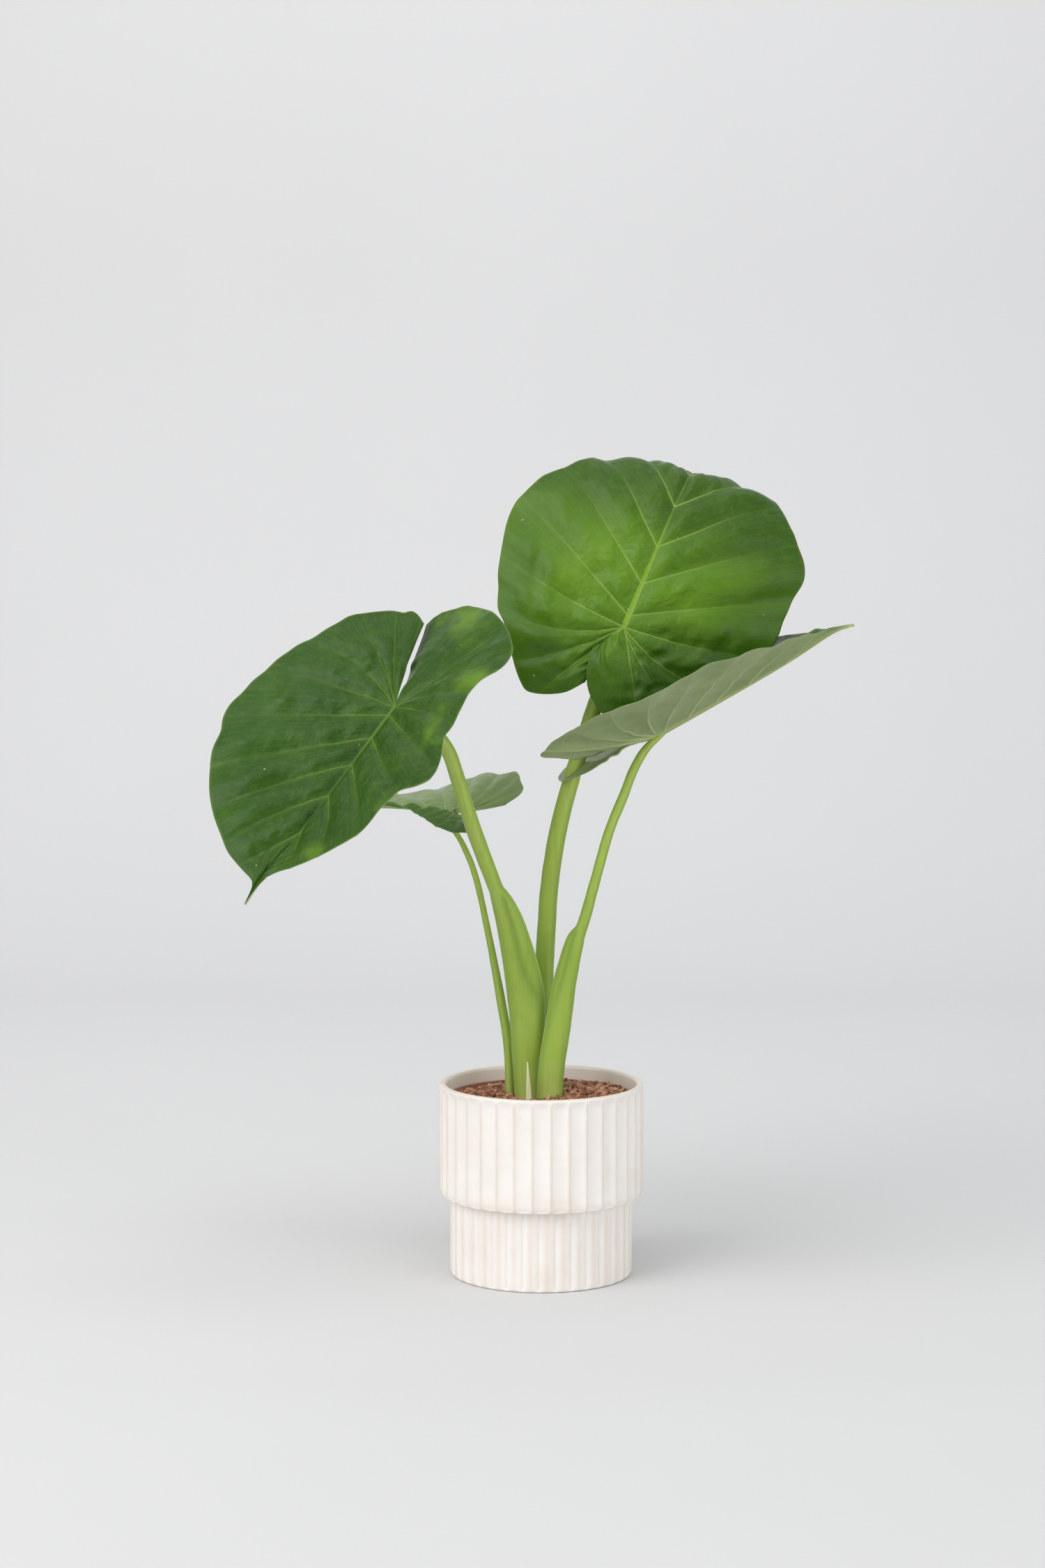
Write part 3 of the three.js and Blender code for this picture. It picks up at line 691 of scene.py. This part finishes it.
LEAVES["b"] = dict(
    junction=(-105, -60, 292), tip=(-0.52, -0.5, -0.69), face=(-0.36, -0.615, 0.69),
    bend=[(-120, 0), (0, 0), (100, 0), (205, -5)],
    fold={1: [(0, 12)], -1: [(0, 20)]},
    outline={
        1: [(0, 186), (0.3, 178), (0.7, 169), (1.6, 162), (5, 156), (15, 144), (22, 137), (29, 126), (34, 111),
            (40, 98), (47, 104), (54, 109), (62, 95), (71, 77), (88, 70), (104, 69), (113, 75), (121, 93),
            (131, 97), (150, 98), (169, 101), (184, 103), (195, 98), (201, 86)],
        -1: [(0, 186), (0.3, 179), (0.7, 173), (1.6, 169), (3, 167), (8, 163), (12, 161), (17, 155), (29, 146),
             (41, 136), (45, 132), (51, 124), (57, 123), (63, 118), (67, 112), (75, 104), (80, 100), (87, 97),
             (106, 87), (119, 87), (127, 89), (139, 86), (149, 84), (152, 81), (156, 85), (161, 80), (164, 74)],
    },
    sweep=-4.5, lobe_lift={1: -1.5, -1: 0.5}, wave=1.3, young=1.0, tone={1: 0.0, -1: 0.0}, seed=8,
    stalk=[(-9, 1, 0), (-9.6, -1, 42), (-11, -4, 74), (-14, -8, 93), (-18, -11.5, 112), (-23, -15, 132),
           (-27.5, -18, 145), (-30.2, -19.4, 151), (-33, -21, 157), (-37, -25, 168), (-48.5, -33, 200),
           (-60, -42, 238), (-69, -48.5, 263), (-85, -51, 279), (-98, -53, 285)],
    width=[(0, 10.8), (42, 12.6), (74, 14), (93, 13.3), (112, 11.9), (132, 10.2), (145, 8.4), (150, 7.3),
           (153.5, 6.4), (156, 5.4), (170, 5.4), (200, 5.6), (300, 4.8), (330, 3.4)],
    depth=[(0, 6.4), (60, 6.4), (110, 6), (150, 5.6), (200, 5), (300, 4.4), (330, 3.4)],
    sheath=(154, 1, [(60, 0.95), (76, 0.6), (86, 0.3), (100, 0.06), (140, 0.1), (156, 0.4)]),
)
LEAVES["c"] = dict(
    junction=(84, 15, 267), tip=(0.86, -0.15, 0.48), face=(-0.4, 0.2, 0.9),
    bend=[(-120, 0), (0, 0), (100, 1), (138, 7), (150, 3), (166, -22)],
    fold={1: [(-80, 18), (-30, 15), (0, 13), (40, 17), (100, 27), (150, 24)],
          -1: [(-80, 22), (0, 13), (30, 10), (64, 13), (100, 12), (150, 9)]},
    outline={
        1: [(0, 164), (0.6, 156), (2, 149), (6, 145), (15, 137), (30, 121), (50, 98), (70, 84), (95, 78),
            (120, 80), (140, 84), (155, 86), (168, 84), (180, 80), (192, 76), (203, 68), (212, 56)],
        -1: [(0, 166), (0.6, 157), (2, 149), (6, 142), (15, 132), (22, 121), (30, 118), (42, 103), (50, 102),
             (60, 92), (70, 88), (82, 82), (95, 83), (110, 83), (120, 88), (132, 91), (139, 92), (144, 94),
             (147, 86), (150, 75), (153, 62)],
    },
    # On leaf C the lobe behind the junction on the left half (1) gets painted sheen.
    lobe_lift={1: 3.0, -1: 0.0}, wave=1.4, young=0.2, tone={1: 0.3, -1: 0.3}, pale={1: (0.55, 0)}, seed=15,
    stalk=[(6, -13, 0), (7.5, -13, 25), (12, -13, 55), (16.6, -13, 85), (19.6, -12.8, 99), (22.8, -12.5, 112),
           (25.4, -12, 120), (28.4, -11.4, 125.5), (30.6, -10.8, 131), (38.5, -8, 159), (50, 0, 198),
           (60, 6, 222), (68.5, 10, 243), (77, 12.8, 256.5)],
    width=[(0, 9.6), (55, 9.6), (85, 8.6), (99, 8), (112, 7.2), (119, 6.5), (122.5, 5.6), (127, 4.2),
           (160, 3.8), (250, 3.3), (262, 2.6), (272, 1.2)],
    depth=[(0, 5.6), (50, 5.6), (90, 5), (125, 4.2), (160, 3.6), (250, 3.2), (262, 2.4), (272, 1.0)],
    sheath=(126, -1, [(20, 0.9), (50, 0.6), (75, 0.45), (90, 0.25), (112, 0.28), (126, 0.4)]),
    slender_end=True,
)
LEAVES["d"] = dict(
    junction=(-67, 80, 204), tip=(-0.88, 0.4, 0.1), face=(0.1, 0, 1),
    bend=[(-120, -14), (-20, -6), (0, 0), (60, -8), (130, -35)],
    fold={1: [(-60, -12), (-20, -9), (20, -8), (40, -5), (60, 3), (90, 10)],
          -1: [(-50, 38), (-20, 31), (0, 24), (30, 14), (50, 7)]},
    curl={1: [(0, -60)], -1: [(0, 0)]},
    outline={
        1: [(0, 130), (3, 106), (6, 84), (10, 58), (15, 42), (25, 32), (44, 27), (67, 27), (84, 29), (100, 34),
            (113, 40), (121, 46), (128, 50), (133, 53), (138, 49), (144, 42), (148, 34)],
        -1: [(0, 130), (8, 116), (25, 104), (40, 96), (48, 86), (54, 74), (60, 70), (69, 72), (78, 69), (87, 69),
             (95, 64), (104, 60), (113, 60), (119, 65), (126, 63), (136, 59), (147, 58), (153, 55), (157, 50),
             (161, 40)],
    },
    # Leaf D's far half (-1) gets a lighter tone and painted sheen, a painted reflection of the bright studio.
    wave=1.3, young=0.1, tone={1: 0.45, -1: 0.9}, pale={-1: (0.45, 0.45)}, seed=29,
    stalk=[(-23, 13, 0), (-24.5, 17, 36), (-29.5, 24, 66), (-40.5, 40, 122), (-50, 56, 160), (-59, 69, 180),
           (-66, 77, 191)],
    width=[(0, 3.8), (60, 3.4), (120, 2.5), (200, 2.1)],
    depth=[(0, 3.8), (60, 3.4), (120, 2.5), (200, 2.1)],
)

# Side veins of one half, from the sinus edge to the tip: where each leaves the
# midrib (share of its length), the margin angle it runs to and its first
# direction, both in degrees from the tip.  The first row is the sinus edge.
SIDE_VEINS = [
    (0.0, None, 150), (0.0, 150, 146), (0.0, 128, 140), (0.0, 104, 124), (0.0, 80, 88),
    (0.04, 58, 62), (0.16, 40, 52), (0.30, 26, 48), (0.46, 15, 44), (0.64, 7.5, 40), (1.0, 0, 30),
]
SPOKES, STEPS = 16, 64                  # spokes from vein to vein, steps along each
BLADE_T = 0.75
VEIN_SUNK, RIB_SUNK = 0.6, 1.1
VEIN_PROUD, RIB_PROUD = 0.55, 2.0       # on the underside
SWELL, SWELL_MAX = 0.13, 3.0            # rise between veins: share of their gap, most
FULL_LENGTH = 190.0                     # a blade this long has full relief


def unit(v):
    v = np.asarray(v, float)
    return v / np.linalg.norm(v)


def blade_axes(leaf):
    along = unit(leaf["tip"])
    face = np.array(leaf["face"], float)
    normal = unit(face - along * (face @ along))
    return along, normal, np.cross(normal, along)


def junction(leaf):
    return np.array(leaf["junction"], float) + [0, 0, SOIL_Z]


def midrib(leaf, x, late):
    """Distance along, height and slope of the bent midrib at x, for a strip of
    blade that starts to bend `late` mm further out than the midrib does."""
    grid = np.linspace(-170, 260, 861)
    slope = np.radians(keyed_soft(leaf["bend"], grid, 9))
    step = grid[1] - grid[0]
    out = []
    for part in (np.cos(slope), np.sin(slope)):
        run = np.concatenate([[0], np.cumsum((part[1:] + part[:-1]) / 2 * step)])
        out.append(np.interp(x - late, grid, run) - np.interp(-late, grid, run))
    return *out, np.interp(x - late, grid, slope)


def to_space(leaf, side, x, y):
    """Flat blade points (x toward the tip, y to the left) bent into space."""
    along, normal, left = blade_axes(leaf)
    spread = y * side
    a0, h0, slope = midrib(leaf, x, leaf["skew"][side] * np.maximum(spread, 0))
    rise = np.radians(keyed_soft(leaf["fold"][side], x, 9))
    turn = np.radians(keyed_soft(leaf["curl"][side], x, 9)) / 100
    mean = rise + turn * spread / 2
    soft = np.sign(spread) * (np.sqrt(spread ** 2 + 9) - 3)
    sideways = side * spread * np.cos(mean)
    lift = soft * np.sin(mean)
    r = np.hypot(x, y)
    angle = np.degrees(np.arctan2(np.abs(y), x))
    lift = lift + leaf["lobe_lift"][side] * smoothstep(5, 32, r) * smoothstep(105, 150, angle)
    sideways = sideways + leaf["sweep"] * smoothstep(105, 172, x)
    a = a0 - lift * np.sin(slope)
    n = h0 + lift * np.cos(slope)
    return junction(leaf) + a[..., None] * along + sideways[..., None] * left + n[..., None] * normal


def outline_radius(keys, angle):
    """Radius of the margin: sharp keys at the tip, softened ones elsewhere."""
    blend = smoothstep(3, 9, angle)
    return keyed(keys, angle) * (1 - blend) + keyed_soft(keys, angle, 1.5) * blend


def half_grid(leaf, side):
    """Flat grid of one half: rows are spokes (veins at whole numbers), columns
    run from the midrib to the margin."""
    keys = leaf["outline"][side]
    end = keys[-1][0]
    length = keys[0][1]
    veins = [(s, end if m is None else m * min(1.0, end / 166), d if m is not None else end - 4)
             for s, m, d in SIDE_VEINS]
    veins = np.array(veins, float)
    u = np.linspace(0, len(veins) - 1, (len(veins) - 1) * SPOKES + 1)
    t = np.arange(len(veins))
    start = np.interp(u, t, veins[:, 0]) * length
    near_tip = np.where(u > t[-2], t[-1] - (t[-1] - u) ** 2.2, u)
    margin = np.interp(near_tip, t, veins[:, 1])
    first = np.radians(np.minimum(np.interp(u, t, veins[:, 2]), 4 + 2.8 * margin))
    radius = outline_radius(keys, margin)
    m = np.radians(margin)
    p0 = np.stack([start, 0 * start], -1)
    p2 = np.stack([radius * np.cos(m), radius * np.sin(m)], -1)
    chord = np.linalg.norm(p2 - p0, axis=1)
    p1 = p0 + np.stack([np.cos(first), np.sin(first)], -1) * (chord * 0.5)[:, None]
    w = np.linspace(0, 1, STEPS + 1)[None, :, None]
    flat = (1 - w) ** 2 * p0[:, None] + 2 * w * (1 - w) * p1[:, None] + w ** 2 * p2[:, None]
    edge = np.concatenate([[0], np.cumsum(np.linalg.norm(np.diff(p2, axis=0), axis=1))])
    return u, flat, edge, length


def half_data(leaf, side, u, flat, edge, length):
    """What materials and relief need at each point of one half."""
    cols = flat.shape[1]
    x, spread = flat[..., 0], np.abs(flat[..., 1])
    du = np.gradient(flat, u, axis=0)
    dw = np.gradient(flat, axis=1)
    dw /= np.maximum(np.linalg.norm(dw, axis=-1, keepdims=True), 1e-6)
    reach = np.linspace(0, 1, cols)
    front = np.clip(x / length, 0, 1)
    # near the lobe its own rib stands in for the midrib
    lobe = np.linalg.norm(flat[..., None, :] - flat[SPOKES][None, None], axis=-1)
    lobe_d, lobe_along = lobe.min(-1), lobe.argmin(-1) / (cols - 1.0)
    rib_d = np.where(x > 0, spread, np.hypot(x, spread))
    use_lobe = lobe_d + 1.2 * lobe_along < rib_d + 0.2 * front
    # Painted shade: darker towards the tip, and over the lobe of one half of leaf A.
    shade = smoothstep(0.26, 0.5, front)
    if leaf["dark_lobe"] == side:
        shade = np.maximum(shade, smoothstep(0, 35, spread) * (1 - smoothstep(-10, 40, x)))
    # Painted sheen, given separately behind and in front of the junction.
    painted_sheen_behind, painted_sheen_front = leaf["pale"].get(side, (0, 0))
    return {
        "phase": u[:, None],                # whole numbers are veins
        "gap": np.abs(du[..., 0] * dw[..., 1] - du[..., 1] * dw[..., 0]),   # mm from vein to vein
        "reach": reach,                     # 0 at the midrib, 1 at the margin
        "rib": np.where(use_lobe, lobe_d + 0.25, rib_d),    # mm from the rib
        "along": np.where(use_lobe, 0.35 + 0.65 * lobe_along, front),       # share of the rib
        "young": leaf["young"] * smoothstep(0.45, 0.95, reach) * (1.0 if side > 0 else 0.12),
        "tone": leaf["tone"][side], "shade": shade,
        "pale": painted_sheen_behind + (painted_sheen_front - painted_sheen_behind) * smoothstep(-6, 6, x),
        "edge": edge[:, None] + side * 500,     # mm round the margin, apart for the two sides
    }


def relief(leaf, points, data, length):
    """Heights of the upper and the lower surface above the flat blade."""
    reach, rib, gap, along, phase = (data[k] for k in ("reach", "rib", "gap", "along", "phase"))
    seed = leaf["seed"]
    frac = np.abs((phase + 0.5) % 1.0 - 0.5) * 2
    swell = np.minimum(gap * SWELL, SWELL_MAX) * np.sin(frac * math.pi / 2) ** 1.3
    swell = swell * smoothstep(0.0, 0.14, reach) * (1 - 0.75 * smoothstep(0.72, 1.0, reach))
    margin = np.stack([data["edge"], 0 * reach, 0 * reach], -1)
    wave = leaf["wave"] * noise3(margin, 24, seed) + 0.45 * leaf["wave"] * noise3(margin, 11, seed + 1)
    wave = wave * smoothstep(0.45, 1.0, reach)
    low = 1.3 * noise3(points, 42, seed + 2) * smoothstep(6, 40, rib)
    low = low + 0.35 * noise3(points, 13, seed + 3) * smoothstep(3, 12, rib)
    ripple = noise3(np.stack([phase * 2.3, reach * 10, 0 * reach + seed], -1), 1.0, seed + 4)
    near = 1 - smoothstep(30, 95, np.linalg.norm(points - junction(leaf), axis=1))
    inside = smoothstep(0.06, 0.26, reach) * (1 - smoothstep(0.6, 1.0, reach)) * smoothstep(2, 12, gap)
    small = (length / FULL_LENGTH) ** 2
    shift = swell + wave + small * (low + (0.7 + 0.6 * near) * ripple * inside)
    vein_d = frac / 2 * gap
    groove = VEIN_SUNK * np.exp(-(vein_d / 0.8) ** 2) * (1 - 0.8 * reach) * smoothstep(0.0, 0.06, reach)
    trough = RIB_SUNK * np.exp(-(rib / 2.6) ** 2) * (1 - 0.7 * along)
    ridge = VEIN_PROUD * np.exp(-(vein_d / 0.75) ** 2) * (1 - 0.85 * reach)
    keel = RIB_PROUD * np.exp(-(rib / 2.4) ** 2) * (1 - along) ** 0.8
    half_thick = BLADE_T * (1 - 0.55 * smoothstep(0.93, 1.0, reach)) / 2
    lower = shift - half_thick - np.maximum(groove + ridge, trough + keel)
    return half_thick + shift - groove - trough, lower


def blade(name, leaf):
    """Closed thin blade: both halves joined at the midrib, then given relief."""
    points, faces, halves = [], [], []
    for side in (-1, 1):
        u, flat, edge, length = half_grid(leaf, side)
        size = flat.shape[:2]
        here = half_data(leaf, side, u, flat, edge, length)
        halves.append({k: np.broadcast_to(v, size).ravel() for k, v in here.items()})
        faces += grid_faces(*size, start=sum(map(len, points)), flip=side > 0)
        points.append(to_space(leaf, side, flat[..., 0], flat[..., 1] * side).reshape(-1, 3))
    data = {k: np.concatenate([half[k] for half in halves]) for k in halves[0]}
    points, faces, data = merged(np.concatenate(points), faces, data)
    normals = vertex_normals(points, faces)
    upper, lower = relief(leaf, points, data, length)
    verts = np.vstack([points + normals * upper[:, None], points + normals * lower[:, None]])
    count = len(points)
    under = [tuple(i + count for i in reversed(f)) for f in faces]
    rim = [(b, a, a + count, b + count) for a, b in open_edges(faces)]
    slots = [0] * len(faces) + [1] * (len(under) + len(rim))
    both = {k: np.concatenate([v, v]) for k, v in data.items() if k != "edge"}
    obj = make_mesh(name, verts, faces + under + rim, [MAT["upper"], MAT["under"]], slots, both)
    claim(obj, "blade", name.replace("leaf", "blade"))


def merged(points, faces, data):
    """Join points that coincide and drop the faces that vanish."""
    key = np.round(points / 0.002).astype(np.int64)
    _, first, inverse = np.unique(key, axis=0, return_index=True, return_inverse=True)
    inverse = inverse.ravel()
    kept = []
    for f in faces:
        g = []
        for i in f:
            j = int(inverse[i])
            if j not in g:
                g.append(j)
        if len(g) > 2:
            kept.append(tuple(g))
    return points[first], kept, {k: v[first] for k, v in data.items()}


def vertex_normals(points, faces):
    normals = np.zeros_like(points)
    for size in (3, 4):
        group = np.array([f for f in faces if len(f) == size], int)
        if not len(group):
            continue
        p = points[group]
        # the diagonals of a quad, two sides of a triangle
        n = np.cross(p[:, size - 2] - p[:, 0], p[:, size - 1] - p[:, size - 3])
        for k in range(size):
            np.add.at(normals, group[:, k], n)
    return normals / np.maximum(np.linalg.norm(normals, axis=1, keepdims=True), 1e-12)


def open_edges(faces):
    seen = set()
    for f in faces:
        for a, b in zip(f, f[1:] + f[:1]):
            if (b, a) in seen:
                seen.discard((b, a))
            else:
                seen.add((a, b))
    return sorted(seen)


# ---- stalks
def between(t, start, end, a, b):
    """Point at knot t on the line from a at knot start to b at knot end."""
    return (end - t) / (end - start) * a + (t - start) / (end - start) * b


def catmull(points, count):
    """Centripetal Catmull-Rom through the points, sampled evenly in knots."""
    p = np.array(points, float)
    p = np.vstack([2 * p[0] - p[1], p, 2 * p[-1] - p[-2]])
    knots = np.concatenate([[0], np.cumsum(np.linalg.norm(np.diff(p, axis=0), axis=1) ** 0.5)])
    length = np.concatenate([[0], np.cumsum(np.linalg.norm(np.diff(p[1:-1], axis=0), axis=1))])
    out = []
    for s in np.linspace(0, length[-1], count):
        i = min(max(int(np.searchsorted(length, s, side="right")) - 1, 0), len(length) - 2)
        t = knots[i + 1] + (knots[i + 2] - knots[i + 1]) * (s - length[i]) / (length[i + 1] - length[i])
        k, q = knots[i:i + 4], p[i:i + 4]
        q = [between(t, k[j], k[j + 1], q[j], q[j + 1]) for j in range(3)]
        q = [between(t, k[j], k[j + 2], q[j], q[j + 1]) for j in range(2)]
        out.append(between(t, k[1], k[2], *q))
    return np.array(out)


TALLEST = 340.0     # height where the stalk's colour ramp ends


def stalk(name, leaf):
    along, normal, _ = blade_axes(leaf)
    points = np.array(leaf["stalk"], float) + [0, 0, SOIL_Z]
    centres = [points[0] - [0, 0, ROOT_DEPTH], *points]
    end = junction(leaf)
    if leaf["slender_end"]:     # runs out along the underside of the midrib
        centres += [end - normal * 3.6 - along * 2.5, end - normal * 1.8 + along * 6]
    else:
        centres += [end - normal * STALK_TURN, end - normal * STALK_TIP]
    rings, sides = 260, 64
    path = catmull(centres, rings)
    tangent = np.gradient(path, axis=0)
    tangent /= np.linalg.norm(tangent, axis=1, keepdims=True)
    across = np.array([1.0, 0, 0]) - tangent * tangent[:, :1]
    across /= np.linalg.norm(across, axis=1, keepdims=True)
    back = np.cross(tangent, across)
    height = path[:, 2] - SOIL_Z
    width = keyed_soft(leaf["width"], height, 1.2)
    depth = keyed_soft(leaf["depth"], height, 2.5)
    angle = around(sides)
    c, s = np.cos(angle), np.sin(angle)
    verts, wing, hollow = [], [], []
    top, hand, groove = leaf["sheath"] or (-100, 1, [(0, 0)])
    at = hand * keyed_soft(groove, height, 3)
    toward = hand * c                                       # 1 at the open edge of the sheath
    for i, h in enumerate(height):
        body = 1 - smoothstep(top - 5, top + 2, h)          # 1 on the sheath, 0 above it
        edge = np.clip((toward - hand * at[i]) / max(1.05 - hand * at[i], 0.05), 0, 1)
        dip = np.exp(-((c - at[i]) / 0.26) ** 2) * smoothstep(40, 95, h)
        squeeze = 1 - body * (0.24 * dip + 0.6 * edge ** 2.2)
        flutes = 1 + 0.03 * (1 - body) * np.cos(5 * angle + 0.7)
        px = width[i] * c * flutes
        py = depth[i] * s * squeeze * flutes
        verts.append(path[i] + across[i] * px[:, None] + back[i] * py[:, None])
        wing.append(body * smoothstep(0.9, 0.995, toward))
        # Painted shade along the groove, on the front side only.
        hollow.append(body * dip * smoothstep(0.0, 0.5, -s if back[i][1] > 0 else s))
    verts, wing, hollow = map(np.concatenate, (verts, wing, hollow))
    outward = verts - np.repeat(path, sides, axis=0)
    outward /= np.maximum(np.linalg.norm(outward, axis=1, keepdims=True), 1e-9)
    verts += 0.16 * noise3(verts, 9, leaf["seed"] + 40)[:, None] * outward
    faces = capped(rings, sides, len(verts), len(verts) + 1)
    verts = np.vstack([verts, path[0], path[-1]])
    ends = {"height": [0, 1]}
    data = {"height": np.repeat(np.clip(height / TALLEST, 0, 1), sides), "wing": wing, "hollow": hollow,
            # 1 at the stalk's left and right sides, where painted shade darkens it.
            "flank": np.tile(np.abs(c), rings)}
    data = {k: np.append(v, ends.get(k, [0, 0])) for k, v in data.items()}
    obj = make_mesh(name, verts, faces, [MAT["stalk"]], attributes=data)
    claim(obj, "stalk", name.replace("petiole", "stalk"))


def build_young_sheath():
    path = catmull([(-9, -22, -ROOT_DEPTH), (-9, -22, 0), (-9.6, -22.4, 14), (-10.2, -23, 30)], 60)
    width = keyed_soft([(0, 2.2), (12, 1.7), (30, 0.4)], path[:, 2], 2)[:, None]
    depth = keyed_soft([(0, 1.8), (12, 1.6), (30, 0.4)], path[:, 2], 2)[:, None]
    sides = 20
    angle = around(sides)
    ring = np.stack([width * np.cos(angle), depth * np.sin(angle), 0 * width * angle], -1)
    path = path + [0, 0, SOIL_Z]
    verts = np.vstack([(path[:, None] + ring).reshape(-1, 3), path[0], path[-1] + [0, 0, 0.3]])
    faces = capped(len(path), sides, len(verts) - 2, len(verts) - 1)
    obj = make_mesh("spike_sheath", verts, faces, [MAT["sheath"]])
    claim(obj, "sheath", "young_sheath")


# ---- stage and camera
def build_stage():
    """Floor that curves up into a backdrop."""
    n = Nodes("studio_paper", Roughness=0.9)
    colour = n.mix(n.noise(3, 2, 0.5), (209, 209, 209), (212, 212, 212))
    paper = n.finish(colour)
    front, back, half, height, bend = -4.0, 2.2, 5.0, 5.0, 0.9
    profile = [(front, 0.0), (back - bend, 0.0)]
    turn = np.linspace(0, math.pi / 2, 24)[1:]
    profile += [(back - bend + bend * math.sin(a), bend - bend * math.cos(a)) for a in turn]
    profile.append((back, height))
    verts = []
    for y, z in profile:
        verts += [(-half / MM, y / MM, z / MM), (half / MM, y / MM, z / MM)]
    faces = grid_faces(len(profile), 2, flip=True)
    obj = make_mesh("studio_floor", verts, faces, [paper])


def area_light(name, place, target, size, power, colour=(1, 1, 1)):
    light = bpy.data.lights.new(name, "AREA")
    light.shape = "RECTANGLE"
    light.size, light.size_y = size
    light.energy = power
    light.color = colour
    obj = bpy.data.objects.new(name, light)
    obj.location = place
    obj.rotation_euler = (Vector(target) - Vector(place)).to_track_quat("-Z", "Y").to_euler()
    bpy.context.collection.objects.link(obj)


def build_lights():
    plant, backdrop, warm = (0, 0, 0.3), (0, 2.1, 0.6), (1, 0.985, 0.96)
    area_light("key", (-1.9, -1.6, 2.0), plant, (2.4, 2.4), 54, warm)
    area_light("fill", (2.2, -1.7, 1.1), plant, (2.0, 2.0), 18)
    area_light("back", (0, 0.8, 1.9), backdrop, (2.4, 0.5), 8)
    area_light("top", (-0.1, -0.7, 2.7), plant, (2.2, 2.2), 18)
    world = bpy.data.worlds.new("studio")
    world.use_nodes = True
    sky = world.node_tree.nodes["Background"].inputs
    sky[0].default_value = (0.95, 0.97, 1.0, 1)
    sky[1].default_value = 0.6
    bpy.context.scene.world = world
    bpy.context.scene.view_settings.view_transform = "Standard"


def build_camera():
    """The photo's view: level with the blades, looking a little down."""
    camera = bpy.data.cameras.new("photo_view")
    camera.sensor_fit = "VERTICAL"
    camera.sensor_height = 36
    camera.lens = 73.6
    obj = bpy.data.objects.new("photo_view", camera)
    obj.location = (-0.0138, -2.330, 0.572)
    obj.rotation_euler = (math.radians(90 - 5.15), 0, 0)
    bpy.context.collection.objects.link(obj)
    bpy.context.scene.camera = obj


build_camera()
build_stage()
build_lights()
build_pot()
build_grow_pot()
build_soil()
build_bark()
build_fibres()
for key, own in LEAVES.items():
    leaf = {**PLAIN, **own}
    blade(f"leaf_{key}", leaf)
    stalk(f"petiole_{key}", leaf)
build_young_sheath()
